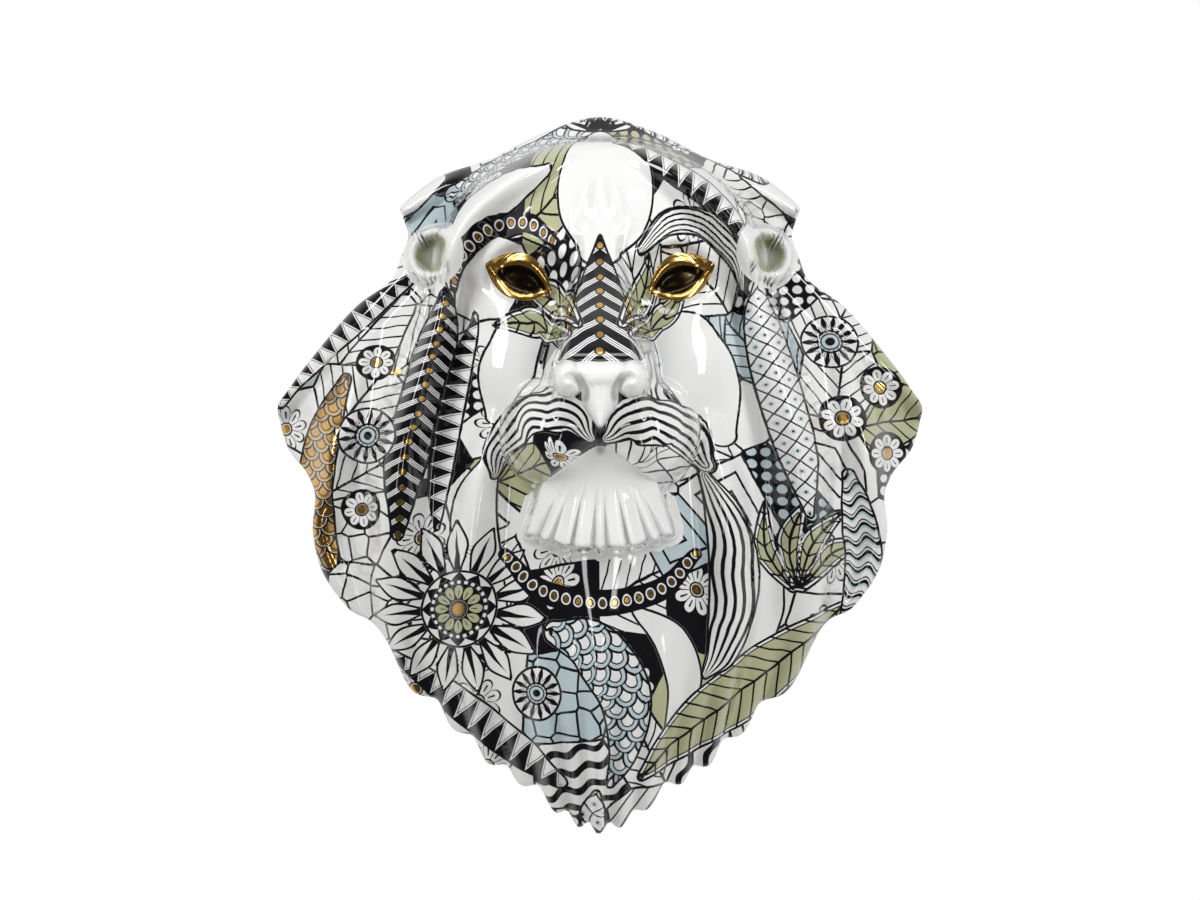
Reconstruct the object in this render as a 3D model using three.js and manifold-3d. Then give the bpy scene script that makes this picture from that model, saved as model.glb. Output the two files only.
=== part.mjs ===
// Lion head wall mask: one cast and glazed shell with an open back. A flat web closes the top of
// the back and holds the keyhole slot that the mask hangs from.
// Millimetres. The face looks along -Y and Z is up. The wall is the plane y = 0, and the origin is
// on the back of the web, on the mask's centre line.
import * as THREE from 'three';
import { mergeVertices } from 'three/addons/utils/BufferGeometryUtils.js';
import Module from 'manifold-3d';

// Driving dimensions
const maskHeight = 420; // hem tip to crown
const maskWidth = 376; // across the two outer mane tips
const maskDepth = 211; // wall to nose
const wallThickness = 6;
const rimWidth = 6; // flat rim that meets the wall
const webThickness = 7;
const webLowerEdge = -26;
const keyholeHeight = 20; // centre of the round entry hole
const keyholeDiameter = 13;
const slotWidth = 6.5;
const slotRise = 13; // from the entry hole up to the seat of the slot

// How finely the surface is divided
const columns = 120;
const columnGather = 0.3; // how much closer the columns stand at the hem than on average
const faceRings = 27;
const sideRings = 2;
const hollowRings = 8;
const samplesPerRay = 240;
const evenings = 6; // rounds of evening the rings out between neighbouring columns
const climbWeight = 0.8; // how far rings gather where the surface climbs
const faceWeight = { extra: 2, reach: 80 }; // and round the middle of the face

// The carving is stated in the proportions of a figure of this size, as [x, z] from the origin and
// heights off the wall, and is scaled to the driving dimensions.
const figure = { height: 420.4, width: 376.6, depth: 211.4, centreZ: -112 };
const scaleX = maskWidth / figure.width;
const scaleY = maskDepth / figure.depth;
const scaleZ = maskHeight / figure.height;

// Half of the front outline: degrees from straight up, and the reach from the centre
const frontOutline = [
  [0, 182], [10, 176], [22, 168], [35, 175], [42, 174], [44.5, 159], [49, 152], [54, 147],
  [63, 157], [74, 169], [82, 181], [86.5, 188], [93, 183], [99, 171], [102.5, 168], [110, 176],
  [118, 181], [125, 179], [130, 174], [142, 182], [150, 187], [157, 195], [164, 205], [170, 212],
  [175.5, 226], [180, 232],
];
// The same without tips and notches: the dome under the hair, and the back
const plainOutline = [
  [0, 178], [25, 168], [45, 160], [65, 162], [90, 174], [120, 176], [150, 187], [166, 206],
  [180, 230],
];
const backShare = 0.93; // the back outline as a share of the plain outline
const backInset = 3; // and at least this far inside the front outline
const sideBulge = 2.2; // how late the side wall turns in

const dome = { rim: 24, crown: 120 };
const massBlend = 5; // rounding where two large masses meet
const ballSkirt = 5; // how steeply a ball falls away outside its edge
const skull = { x: 0, z: -14, halfWidth: 92, halfHeight: 66, low: 60, crest: 120, blend: 16 };
const cheek = { x: 54, z: -66, halfWidth: 27, halfHeight: 34, rise: 13, turn: -14 };
const bridge = {
  crest: [
    [-170, -80], [-145, 60], [-132, 140], [-118, 181], [-98, 192], [-78, 196], [-62, 184],
    [-40, 156], [-22, 134], [0, 116], [25, 84], [55, 30], [80, -60],
  ],
  halfWidth: [[-130, 30], [-100, 28], [-76, 25], [-50, 20], [-30, 16], [-10, 15], [20, 20], [60, 26]],
  crown: 0.004,
  edge: 8,
  skirt: 24,
  drop: 150,
  blend: 8,
};
const lobe = { x: 25, z: -115, halfWidth: 31, halfHeight: 33.5, low: 112, crest: 190, blend: 12 };
const mouth = {
  z: -121.5, slope: 0.74, round: 4, reach: 42, edge: 1.8, fadeZ: [-108, -112], fadeX: [62, 54],
};
const philtrum = { depth: 5, halfWidth: 2.2, low: [-127, -121], high: [-110, -116] };
const chin = {
  top: -121, bottom: -184, topHalf: 35, bottomHalf: 54, sideEdge: [4, -11], hemEdge: [-7, 10],
  crestTop: 173, crestBottom: 165, sag: 38, lift: 15, spread: 56, low: 20, beyond: 1.3,
};
const flutes = {
  fanZ: -100, turn: 7.5, sway: 0.5, swayTurns: 1.3, depth: 8, hemWave: 2, grow: [0.3, 0.9],
};
const noseBar = { x: 0, z: -84.5, halfWidth: 21, halfHeight: 8.8, low: 188, crest: 208 };
const noseWing = { x: 16.8, z: -86.2, halfWidth: 9.2, halfHeight: 10.2, low: 191, crest: 211 };
const noseDrop = {
  top: -96, tip: -116, topHalf: 10.5, tipHalf: 0.8, rise: 18, under: 250, steep: 6,
  upperEnd: [-82, -76], lowerEnd: [5, -7],
};
const noseDip = { depth: 2, halfWidth: 6, ends: [-92, -78] };
const noseCrease = { depth: 1.2, halfWidth: 1.8, ends: [-86, -93] };
const noseBlend = { corner: 3, wing: 2, drop: 4, face: 2.5 };
const noseSide = { edge: 24.5, reach: 12, fall: 200 };
// The nostril is a groove that curls round inside the wing, stated as the locks of hair are
const nostril = [
  [19, -87, -1, 2.4, 3], [14.6, -85.6, -7, 3.4, 3.6], [10.4, -88.2, -9, 3.6, 4],
  [8.4, -93.5, -7, 3, 3.4], [8, -100, -1, 2, 2.4],
];
const eye = { x: 44, z: -29.5, turn: 21, half: 16.6, upper: 9, lower: 8.5, corner: -1.5 };
const eyeSocket = { depth: 10, half: 20, drop: 12.5, lower: 1 };
const eyeLid = { rise: 5, half: 3.1, offset: 1.2, ends: [24, 18], fullness: 2.4 };
const eyeBall = { rise: 5.5, edge: 7.5 };
const ear = {
  x: 95, z: -13, radius: 13.5, tall: 1.05, rim: 4.5, ring: 2.5, rise: 33, bowl: 0.3, well: 8.5,
};
const foreheadCrease = { depth: 3.2, halfWidth: 4.5, low: [-12, 4], high: [40, 22] };
const foreheadFold = {
  rise: 2.2, x: 13, halfWidth: 3.2, turn: 0.28, middleZ: 2, low: [-36, -20], high: [38, 20],
};
const pleat = {
  pitch: 20, vanishZ: -570, hemZ: -230, sway: 2.2, swayPitch: 15, swayPhase: 0.6,
  fine: 6.5, fineFullness: 0.8, broad: 4.5, broadPhase: 0.5,
};
const pleatZone = { low: [-190, -270], edge: [0.3, 0.95] };
const flankZone = { share: 0.7, x: [118, 134], top: [-70, -110], bottom: [-240, -200] };
const hemScallop = { depth: 6, z: [-205, -245] };

// Locks of hair on one half: x, z, height, width away from the face, width towards the face
const locks = [
  // the fold that frames the face
  [
    [3, 52, 3, 12, 12], [28, 39, 14, 15, 13], [56, 21, 25, 16, 14], [76, 2, 31, 15, 14],
    [86, -22, 35, 14, 13], [92, -54, 34, 20, 15], [103, -92, 32, 24, 19], [115, -132, 30, 24, 26],
    [121, -182, 22, 16, 32], [120, -226, 15, 13, 28], [108, -262, 5, 12, 20],
  ],
  // the lip over the ear
  [[16, 60, 2, 14, 14], [66, 43, 15, 18, 14], [118, 13, 19, 16, 6]],
  // the fold behind the ear, out to the mane's widest tip
  [[112, -20, 14, 16, 16], [146, -52, 17, 20, 20], [190, -100, 19, 15, 10]],
  // the outer mane
  [
    [134, -56, 10, 18, 12], [146, -104, 17, 22, 15], [156, -144, 20, 22, 17],
    [163, -178, 19, 18, 20], [150, -220, 9, 12, 18],
  ],
  // the long fold from the muzzle down to the hem
  [[60, -112, 8, 16, 14], [70, -150, 18, 20, 22], [76, -200, 17, 22, 26], [70, -262, 6, 18, 20]],
];
const browRidge = [[15, -20, 3, 9, 7], [32, -10, 9, 11, 7], [50, -8, 10, 12, 7], [70, -24, 5, 10, 9]];
const lockBlend = 2.5;
const earBlend = 4;
const softening = { least: 1, share: 0.028 };
const hollow = {
  muzzle: { x: 0, z: -106, halfWidth: 46, halfHeight: 32, low: 100, crest: 168 },
  blend: 10,
  lockShare: 0.8,
  soften: 9,
  steepest: 2.6,
};

const mergeDistance = 1e-4; // points closer than this are one

const clamp = THREE.MathUtils.clamp;
const mix = THREE.MathUtils.lerp;
const toRadians = THREE.MathUtils.degToRad;

// 0 at from, 1 at to, with soft ends; from may be the larger one
function ease([from, to], value) {
  const t = clamp((value - from) / (to - from), 0, 1);
  return t * t * (3 - 2 * t);
}

function bell(value) {
  return Math.exp(-value * value);
}

// The larger of two heights, rounded over the given blend
function softMax(a, b, blend) {
  const t = clamp(0.5 + (0.5 * (a - b)) / blend, 0, 1);
  return mix(b, a, t) + blend * t * (1 - t);
}

// A smooth curve through rising keys that never overshoots them
function throughKeys(keys, value) {
  const last = keys.length - 1;
  const at = clamp(value, keys[0][0], keys[last][0]);
  let i = 0;
  while (i < last - 1 && at > keys[i + 1][0]) i += 1;
  const slope = (k) => (keys[k + 1][1] - keys[k][1]) / (keys[k + 1][0] - keys[k][0]);
  const tangent = (k) => {
    if (k === 0 || k === last) return 0;
    const before = slope(k - 1);
    const after = slope(k);
    if (before * after <= 0) return 0;
    const spanBefore = keys[k][0] - keys[k - 1][0];
    const spanAfter = keys[k + 1][0] - keys[k][0];
    const weightBefore = 2 * spanAfter + spanBefore;
    const weightAfter = spanAfter + 2 * spanBefore;
    return (weightBefore + weightAfter) / (weightBefore / before + weightAfter / after);
  };
  const span = keys[i + 1][0] - keys[i][0];
  const t = (at - keys[i][0]) / span;
  const rise = t * t * (3 - 2 * t);
  const leave = t * (1 - t) * (1 - t) * span * tangent(i);
  const arrive = t * t * (t - 1) * span * tangent(i + 1);
  return mix(keys[i][1], keys[i + 1][1], rise) + leave + arrive;
}

// Upper side of an ellipsoid from low at its edge to crest; it falls away steeply outside
function ballHeight(x, z, ball, power = 2) {
  const across = Math.abs((x - ball.x) / ball.halfWidth) ** power;
  const along = Math.abs((z - ball.z) / ball.halfHeight) ** power;
  const u = (across + along) ** (1 / power);
  if (u < 1) return ball.low + (ball.crest - ball.low) * Math.sqrt(1 - u * u);
  return ball.low - ballSkirt * Math.min(ball.halfWidth, ball.halfHeight) * (u - 1);
}

// Points along a lock's path, rounded between the stated ones
function roundedPath(points, steps = 8) {
  const last = points.length - 1;
  const beyond = (a, b) => a.map((value, k) => 2 * value - b[k]);
  const keys = [beyond(points[0], points[1]), ...points, beyond(points[last], points[last - 1])];
  const path = [];
  for (let i = 1; i <= last; i += 1) {
    for (let step = 0; step < steps; step += 1) {
      const t = step / steps;
      path.push(points[0].map((_, k) => {
        const [a, b, c, d] = [keys[i - 1][k], keys[i][k], keys[i + 1][k], keys[i + 2][k]];
        const bend = (2 * a - 5 * b + 4 * c - d) * t * t + (3 * b - a - 3 * c + d) * t * t * t;
        return 0.5 * (2 * b + (c - a) * t + bend);
      }));
    }
  }
  path.push(points[last]);
  return path;
}

// Height of one lock at a place: full on its path, nothing at its stated widths
function lockHeight(x, z, path) {
  let nearest = Infinity;
  let share = 0;
  for (let i = 0; i + 1 < path.length; i += 1) {
    const [ax, az, ah, aOut, aIn] = path[i];
    const [bx, bz, bh, bOut, bIn] = path[i + 1];
    const dx = bx - ax;
    const dz = bz - az;
    const t = clamp(((x - ax) * dx + (z - az) * dz) / (dx * dx + dz * dz), 0, 1);
    const distance = Math.hypot(x - ax - t * dx, z - az - t * dz);
    if (distance < nearest) {
      nearest = distance;
      const outside = dx * (z - az) - dz * (x - ax) > 0;
      const width = outside ? mix(aOut, bOut, t) : mix(aIn, bIn, t);
      share = mix(ah, bh, t) * ease([1, 0], distance / width);
    }
  }
  return share;
}

const lockPaths = locks.map((points) => roundedPath(points));
const browPath = roundedPath(browRidge);
const nostrilPath = roundedPath(nostril);

function degreesFromTop(x, z) {
  return Math.abs(THREE.MathUtils.radToDeg(Math.atan2(x, z - figure.centreZ)));
}

function domeHeight(x, z) {
  const reach = throughKeys(plainOutline, degreesFromTop(x, z));
  const share = Math.hypot(x, z - figure.centreZ) / reach;
  return dome.rim + (dome.crown - dome.rim) * (1 - share * share);
}

function bridgeHeight(x, z) {
  const half = throughKeys(bridge.halfWidth, z);
  const fall = bridge.drop * ease([half - bridge.edge, half + bridge.skirt], x);
  return throughKeys(bridge.crest, z) - bridge.crown * x * x - fall;
}

// The skull, cheeks and bridge, without hair, eyes or nose
function headHeight(x, z) {
  const turn = toRadians(cheek.turn);
  const dx = x - cheek.x;
  const dz = z - cheek.z;
  const u = (dx * Math.cos(turn) + dz * Math.sin(turn)) / cheek.halfWidth;
  const v = (dz * Math.cos(turn) - dx * Math.sin(turn)) / cheek.halfHeight;
  const cheekRise = cheek.rise * Math.exp(-((u * u + v * v) ** 1.5));
  const head = softMax(domeHeight(x, z), ballHeight(x, z, skull), skull.blend) + cheekRise;
  return softMax(head, bridgeHeight(x, z), bridge.blend);
}

// The fluted tuft under the mouth
function chinHeight(x, z) {
  const t = clamp((chin.top - z) / (chin.top - chin.bottom), 0, chin.beyond);
  const half = mix(chin.topHalf, chin.bottomHalf, t);
  const turns = (Math.atan2(x, flutes.fanZ - z) * Math.PI) / toRadians(flutes.turn);
  const rib = Math.abs(Math.cos(turns + flutes.sway * Math.sin(flutes.swayTurns * turns)));
  const side = (x / chin.spread) ** 2;
  const hem = chin.bottom - flutes.hemWave * rib + chin.lift * side;
  const share = ease(chin.hemEdge, z - hem) * ease(chin.sideEdge, x - half);
  const flute = flutes.depth * rib * ease(flutes.grow, t);
  return mix(chin.low, mix(chin.crestTop, chin.crestBottom, t) + flute - chin.sag * side, share);
}

// The nose leather: a bar, two round wings and a drop between them
function noseHeight(x, z) {
  const half = mix(noseDrop.tipHalf, noseDrop.topHalf, ease([noseDrop.tip, noseDrop.top], z));
  const u = x / half;
  const round = u < 1 ? noseDrop.rise * Math.sqrt(1 - u * u) : -noseDrop.steep * half * (u - 1);
  const ends = ease(noseDrop.upperEnd, z) + ease(noseDrop.lowerEnd, z - noseDrop.tip);
  const drop = noseBar.low + round - noseDrop.under * ends;
  const wing = ballHeight(x, z, noseWing);
  const bar = softMax(ballHeight(x, z, noseBar, noseBlend.corner), wing, noseBlend.wing);
  const crease = noseCrease.depth * bell(x / noseCrease.halfWidth) * ease(noseCrease.ends, z);
  const dip = noseDip.depth * bell(x / noseDip.halfWidth) * ease(noseDip.ends, z);
  const beside = noseSide.fall * ease([noseSide.edge, noseSide.edge + noseSide.reach], x);
  const nose = softMax(bar, drop, noseBlend.drop) - dip - crease - beside;
  return nose + lockHeight(x, z, nostrilPath);
}

// The crease up the middle of the forehead, and the fold on each side of it
function foreheadRise(x, z) {
  const crease = foreheadCrease.depth * bell(x / foreheadCrease.halfWidth);
  const from = x - foreheadFold.x + foreheadFold.turn * Math.abs(z - foreheadFold.middleZ);
  const fold = foreheadFold.rise * bell(from / foreheadFold.halfWidth);
  const foldEnds = ease(foreheadFold.low, z) * ease(foreheadFold.high, z);
  return fold * foldEnds - crease * ease(foreheadCrease.low, z) * ease(foreheadCrease.high, z);
}

// Socket, lids and eyeball, to be added to the head
function eyeRise(x, z) {
  const turn = toRadians(eye.turn);
  const along = (x - eye.x) * Math.cos(turn) + (z - eye.z) * Math.sin(turn);
  const across = (z - eye.z) * Math.cos(turn) - (x - eye.x) * Math.sin(turn);
  const bow = Math.max(1 - (along / eye.half) ** 2, eye.corner);
  const depth = Math.max(across - eye.upper * bow, -eye.lower * bow - across);
  const down = (across + eyeSocket.lower) / eyeSocket.drop;
  const socket = Math.exp(-((along / eyeSocket.half) ** 4) - down ** 2);
  const lidShape = Math.exp(-(Math.abs((depth - eyeLid.offset) / eyeLid.half) ** eyeLid.fullness));
  const lid = eyeLid.rise * lidShape * ease(eyeLid.ends, Math.abs(along));
  const ball = eyeBall.rise * Math.sqrt(clamp(-depth / eyeBall.edge, 0, 1));
  return lid + ball - eyeSocket.depth * socket;
}

function earHeight(x, z) {
  const distance = Math.hypot(x - ear.x, (z - ear.z) / ear.tall);
  const edge = ease([ear.radius + ear.rim, ear.radius], distance);
  return ear.rise * edge * mix(ear.bowl, 1, ease([ear.well, ear.radius - ear.ring], distance));
}

function lockRise(x, z) {
  return lockPaths.map((path) => lockHeight(x, z, path)).reduce((a, b) => softMax(a, b, lockBlend));
}

function pleatAngle(x, z) {
  const spread = (pleat.hemZ - pleat.vanishZ) / (z - pleat.vanishZ);
  const sway = pleat.sway * Math.sin((x * spread) / pleat.swayPitch + pleat.swayPhase);
  return (2 * Math.PI * (x * spread + sway)) / pleat.pitch;
}

function finePleat(x, z) {
  return (0.5 + 0.5 * Math.cos(pleatAngle(x, z))) ** pleat.fineFullness;
}

function pleatRise(signedX, z) {
  const x = Math.abs(signedX);
  const reach = throughKeys(frontOutline, degreesFromTop(x, z));
  const share = Math.hypot(x, z - figure.centreZ) / reach;
  const low = ease(pleatZone.low, z) * ease(pleatZone.edge, share);
  const ends = ease(flankZone.top, z) * ease(flankZone.bottom, z);
  const flank = flankZone.share * ease(flankZone.x, x) * ends;
  const broad = 0.5 + 0.5 * Math.cos(0.5 * pleatAngle(signedX, z) + pleat.broadPhase);
  return (pleat.fine * finePleat(signedX, z) + pleat.broad * broad) * clamp(low + flank, 0, 1);
}

// Height of the outer surface off the wall
function outerHeight(signedX, z) {
  const x = Math.abs(signedX);
  const head = headHeight(x, z);
  const muzzle = softMax(ballHeight(x, z, lobe), bridgeHeight(x, z), lobe.blend);
  const fromMiddle = Math.hypot(Math.min(x, mouth.reach), mouth.round) - mouth.round;
  const lipLine = mouth.z - mouth.slope * fromMiddle;
  const overLip = ease([-mouth.edge, mouth.edge], z - lipLine);
  const upper = softMax(head, muzzle, massBlend);
  const lower = softMax(domeHeight(x, z), chinHeight(x, z), massBlend);
  const zone = ease(mouth.fadeZ, z) * ease(mouth.fadeX, x);
  let height = mix(upper, mix(lower, upper, overLip), zone);
  const groove = philtrum.depth * bell(x / philtrum.halfWidth);
  height -= groove * ease(philtrum.low, z) * ease(philtrum.high, z);
  height = softMax(height, noseHeight(x, z), noseBlend.face);
  height += foreheadRise(x, z) + lockHeight(x, z, browPath) + eyeRise(x, z);
  return height + softMax(lockRise(x, z), earHeight(x, z), earBlend) + pleatRise(signedX, z);
}

// The same, averaged over about one patch of the surface, so that narrow steps are spread over it
function surfaceHeight(x, z) {
  const reach = softening.least + softening.share * Math.hypot(x, z - figure.centreZ);
  const around = [[0, 0], [0, 0], [reach, 0], [-reach, 0], [0, reach], [0, -reach]];
  const total = around.reduce((sum, [dx, dz]) => sum + outerHeight(x + dx, z + dz), 0);
  return total / around.length;
}

// The locks as the inside of the cast shows them, with their edges softened
function softLockRise(x, z) {
  const reach = hollow.soften;
  const around = [[0, 0], [reach, 0], [-reach, 0], [0, reach], [0, -reach]];
  const total = around.reduce((sum, [dx, dz]) => sum + lockRise(Math.abs(x + dx), z + dz), 0);
  return (hollow.lockShare * total) / around.length;
}

// Height of the hollow inside: it follows the plain masses, one wall thickness in
function hollowHeight(signedX, z) {
  const x = Math.abs(signedX);
  const plain = (px, pz) => {
    const head = softMax(headHeight(px, pz), ballHeight(px, pz, hollow.muzzle), hollow.blend);
    return head + softLockRise(px, pz);
  };
  const slopeX = ((plain(x + 1, z) - plain(x - 1, z)) / 2) * (scaleY / scaleX);
  const slopeZ = ((plain(x, z + 1) - plain(x, z - 1)) / 2) * (scaleY / scaleZ);
  const thickness = wallThickness / scaleY;
  const deep = plain(x, z) - thickness * Math.min(Math.hypot(1, slopeX, slopeZ), hollow.steepest);
  return Math.min(deep, surfaceHeight(signedX, z) - thickness);
}

// The front outline with its scalloped hem
function frontReach(angle) {
  const degrees = Math.abs(THREE.MathUtils.radToDeg(Math.atan2(Math.sin(angle), Math.cos(angle))));
  const reach = throughKeys(frontOutline, degrees);
  const x = reach * Math.sin(angle);
  const z = figure.centreZ + reach * Math.cos(angle);
  return reach + ease(hemScallop.z, z) * hemScallop.depth * (finePleat(x, z) - 0.5);
}

function backReach(angle) {
  const degrees = Math.abs(THREE.MathUtils.radToDeg(Math.atan2(Math.sin(angle), Math.cos(angle))));
  return Math.min(throughKeys(plainOutline, degrees) * backShare, frontReach(angle) - backInset);
}

function figurePoint(angle, reach, height) {
  const x = reach * Math.sin(angle);
  const z = figure.centreZ + reach * Math.cos(angle);
  return new THREE.Vector3(x * scaleX, -height * scaleY, z * scaleZ);
}

// The reaches of the rings along one ray, closer together where the surface climbs or carries detail
function climbAlongRay(angle) {
  const step = frontReach(angle) / samplesPerRay;
  const climbs = [];
  let before = outerHeight(0, figure.centreZ);
  for (let k = 1; k <= samplesPerRay; k += 1) {
    const reach = k * step;
    const height = outerHeight(reach * Math.sin(angle), figure.centreZ + reach * Math.cos(angle));
    const weight = 1 + faceWeight.extra * bell(reach / faceWeight.reach);
    climbs.push(weight * Math.hypot(step, climbWeight * (height - before)));
    before = height;
  }
  return climbs;
}

function ringReaches(angles) {
  let climbs = angles.map(climbAlongRay);
  for (let round = 0; round < evenings; round += 1) {
    climbs = climbs.map((own, j) => {
      const left = climbs[(j + columns - 1) % columns];
      const right = climbs[(j + 1) % columns];
      return own.map((value, k) => 0.5 * value + 0.25 * (left[k] + right[k]));
    });
  }
  return angles.map((angle, j) => {
    const total = climbs[j].reduce((a, b) => a + b, 0);
    const step = frontReach(angle) / samplesPerRay;
    const reaches = [];
    let travelled = 0;
    let k = 0;
    for (let ring = 1; ring <= faceRings; ring += 1) {
      const wanted = (total * ring) / faceRings;
      while (k < samplesPerRay && travelled + climbs[j][k] < wanted) {
        travelled += climbs[j][k];
        k += 1;
      }
      const between = step * (k + (wanted - travelled) / climbs[j][k]);
      reaches.push(ring === faceRings ? frontReach(angle) : between);
    }
    return reaches;
  });
}

// One column of the shell: from the middle of the face out to the edge, back to the wall, across
// the rim and over the hollow to its middle
function shellColumn(angle, reaches) {
  const surface = (reach, heightAt) => {
    const height = heightAt(reach * Math.sin(angle), figure.centreZ + reach * Math.cos(angle));
    return figurePoint(angle, reach, height);
  };
  const front = frontReach(angle);
  const back = backReach(angle);
  const inner = back - rimWidth / scaleX;
  const edge = surfaceHeight(front * Math.sin(angle), figure.centreZ + front * Math.cos(angle));
  const column = [0, ...reaches].map((reach) => surface(reach, surfaceHeight));
  for (let i = 1; i <= sideRings; i += 1) {
    const t = i / sideRings;
    column.push(figurePoint(angle, mix(front, back, t ** sideBulge), edge * (1 - t)));
  }
  column.push(figurePoint(angle, inner, 0));
  for (let i = 0; i <= hollowRings; i += 1) {
    column.push(surface(inner * (1 - i / hollowRings), hollowHeight));
  }
  return column;
}

// A turned blank with one ring per point of a column, whose points are then set to the carved form
function shellGeometry() {
  const turns = Array.from({ length: columns }, (_, j) => (2 * Math.PI * j) / columns);
  const angles = turns.map((turn) => turn + columnGather * Math.sin(turn));
  const reaches = ringReaches(angles);
  const carved = angles.map((angle, j) => shellColumn(angle, reaches[j]));
  const last = carved[0].length - 1;
  const blank = Array.from({ length: last + 1 }, (_, k) => new THREE.Vector2(Math.min(k, last - k), k));
  const geometry = new THREE.LatheGeometry(blank, columns);
  const position = geometry.getAttribute('position');
  for (let index = 0; index < position.count; index += 1) {
    const point = carved[Math.floor(index / (last + 1)) % columns][index % (last + 1)];
    position.setXYZ(index, point.x, point.y, point.z);
  }
  return turnDiagonals(geometry);
}

// Each patch between four points is split along its shorter diagonal
function turnDiagonals(geometry) {
  const position = geometry.getAttribute('position');
  const index = geometry.getIndex();
  const corner = (k) => new THREE.Vector3().fromBufferAttribute(position, k);
  for (let i = 0; i < index.count; i += 6) {
    const [a, b, d, c] = [0, 1, 2, 3].map((k) => index.getX(i + k));
    if (corner(a).distanceTo(corner(c)) < corner(b).distanceTo(corner(d))) {
      [a, b, c, c, d, a].forEach((value, k) => index.setX(i + k, value));
    }
  }
  return geometry;
}

// The web's outline: the back outline's top, cut off straight at the lower edge
function webGeometry() {
  const inset = rimWidth / 2;
  const steps = 240;
  const points = [];
  for (let i = 0; i < steps; i += 1) {
    const angle = -Math.PI + (2 * Math.PI * i) / steps;
    const reach = backReach(angle) - inset / scaleX;
    const point = figurePoint(angle, reach, 0);
    if (point.z >= webLowerEdge) points.push(point);
  }
  const shape = new THREE.Shape();
  const first = points[0];
  const last = points[points.length - 1];
  shape.moveTo(first.x, webLowerEdge);
  points.forEach((point) => shape.lineTo(point.x, point.z));
  shape.lineTo(last.x, webLowerEdge);
  const geometry = new THREE.ExtrudeGeometry(shape, { depth: webThickness, bevelEnabled: false });
  return geometry.rotateX(Math.PI / 2);
}

// A round entry hole with a narrower slot rising from it, through the web and a little beyond
function keyholeGeometry() {
  const margin = 1;
  const entry = keyholeDiameter / 2;
  const half = slotWidth / 2;
  const meet = Math.acos(half / entry);
  const seat = keyholeHeight + slotRise;
  const shape = new THREE.Shape();
  shape.absarc(0, keyholeHeight, entry, Math.PI - meet, 2 * Math.PI + meet, false);
  shape.absarc(0, seat, half, 0, Math.PI, false);
  shape.closePath();
  const depth = webThickness + 2 * margin;
  const geometry = new THREE.ExtrudeGeometry(shape, { depth, bevelEnabled: false, curveSegments: 20 });
  return geometry.rotateX(Math.PI / 2).translate(0, margin, 0);
}

const wasm = await Module();
wasm.setup();

function toSolid(geometry) {
  geometry.deleteAttribute('normal');
  geometry.deleteAttribute('uv');
  const merged = mergeVertices(geometry, mergeDistance);
  const index = merged.getIndex().array;
  const corners = [];
  for (let i = 0; i < index.length; i += 3) {
    const [a, b, c] = [index[i], index[i + 1], index[i + 2]];
    if (a !== b && b !== c && c !== a) corners.push(a, b, c);
  }
  return new wasm.Manifold(new wasm.Mesh({
    numProp: 3,
    vertProperties: new Float32Array(merged.getAttribute('position').array),
    triVerts: new Uint32Array(corners),
  }));
}

function toGeometry(solid) {
  const mesh = solid.getMesh();
  const geometry = new THREE.BufferGeometry();
  geometry.setAttribute('position', new THREE.BufferAttribute(mesh.vertProperties, 3));
  geometry.setIndex(new THREE.BufferAttribute(mesh.triVerts, 1));
  geometry.computeVertexNormals();
  return geometry;
}

const shell = toSolid(shellGeometry());
const web = toSolid(webGeometry());
const keyhole = toSolid(keyholeGeometry());
const glaze = new THREE.MeshStandardMaterial({ color: 0xf1f0ec, roughness: 0.12, metalness: 0 });
const mask = new THREE.Mesh(toGeometry(shell.add(web).subtract(keyhole)), glaze);
mask.name = 'lion_mask';

const part = new THREE.Group();
part.add(mask);

export default part;
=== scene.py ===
"""Looks of the lion head wall mask: one glazed porcelain shell with painted ornament.

The carving and the painting are stated in millimetres: x to the viewer's right, z up, and height
off the wall towards the viewer. Meshes are in metres, with the face towards -Y.
"""
from __future__ import annotations

import logging
import math
from dataclasses import dataclass, field
from enum import Enum
from typing import Any, Callable, Iterable

import bpy
import numpy as np
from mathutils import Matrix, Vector
from mathutils.kdtree import KDTree

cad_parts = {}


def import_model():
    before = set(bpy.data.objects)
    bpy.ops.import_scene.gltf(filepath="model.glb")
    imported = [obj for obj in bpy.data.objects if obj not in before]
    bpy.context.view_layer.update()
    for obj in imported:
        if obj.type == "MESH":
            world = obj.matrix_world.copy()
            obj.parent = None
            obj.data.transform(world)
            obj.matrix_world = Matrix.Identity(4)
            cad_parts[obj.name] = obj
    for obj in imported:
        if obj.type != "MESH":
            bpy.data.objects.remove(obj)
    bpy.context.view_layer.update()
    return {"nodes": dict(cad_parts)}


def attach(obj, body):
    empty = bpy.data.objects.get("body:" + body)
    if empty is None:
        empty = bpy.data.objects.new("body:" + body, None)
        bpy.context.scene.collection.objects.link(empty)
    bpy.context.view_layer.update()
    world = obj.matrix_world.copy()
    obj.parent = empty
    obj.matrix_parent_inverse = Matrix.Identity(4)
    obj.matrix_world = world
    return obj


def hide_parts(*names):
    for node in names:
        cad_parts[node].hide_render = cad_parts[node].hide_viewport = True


LOG = logging.getLogger("lion_mask")
Array = np.ndarray
Pair = tuple[float, float]
Keys = tuple[Pair, ...]
Colour = tuple[float, float, float, float]
METRES = 0.001
FAR = 1e3
SAME_PLACE = 1e-6
BALL_SKIRT = 5.0


# Curves and masses

def ease(start: float | Array, end: float | Array, value: Array) -> Array:
    """Soft step.

    Args:
        start: Value at which the step is 0; it may be the larger one.
        end: Value at which the step is 1.
        value: Where the step is wanted.

    Returns:
        Shares from 0 to 1.
    """
    t = np.clip((value - start) / (end - start), 0, 1)
    return t * t * (3 - 2 * t)


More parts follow.
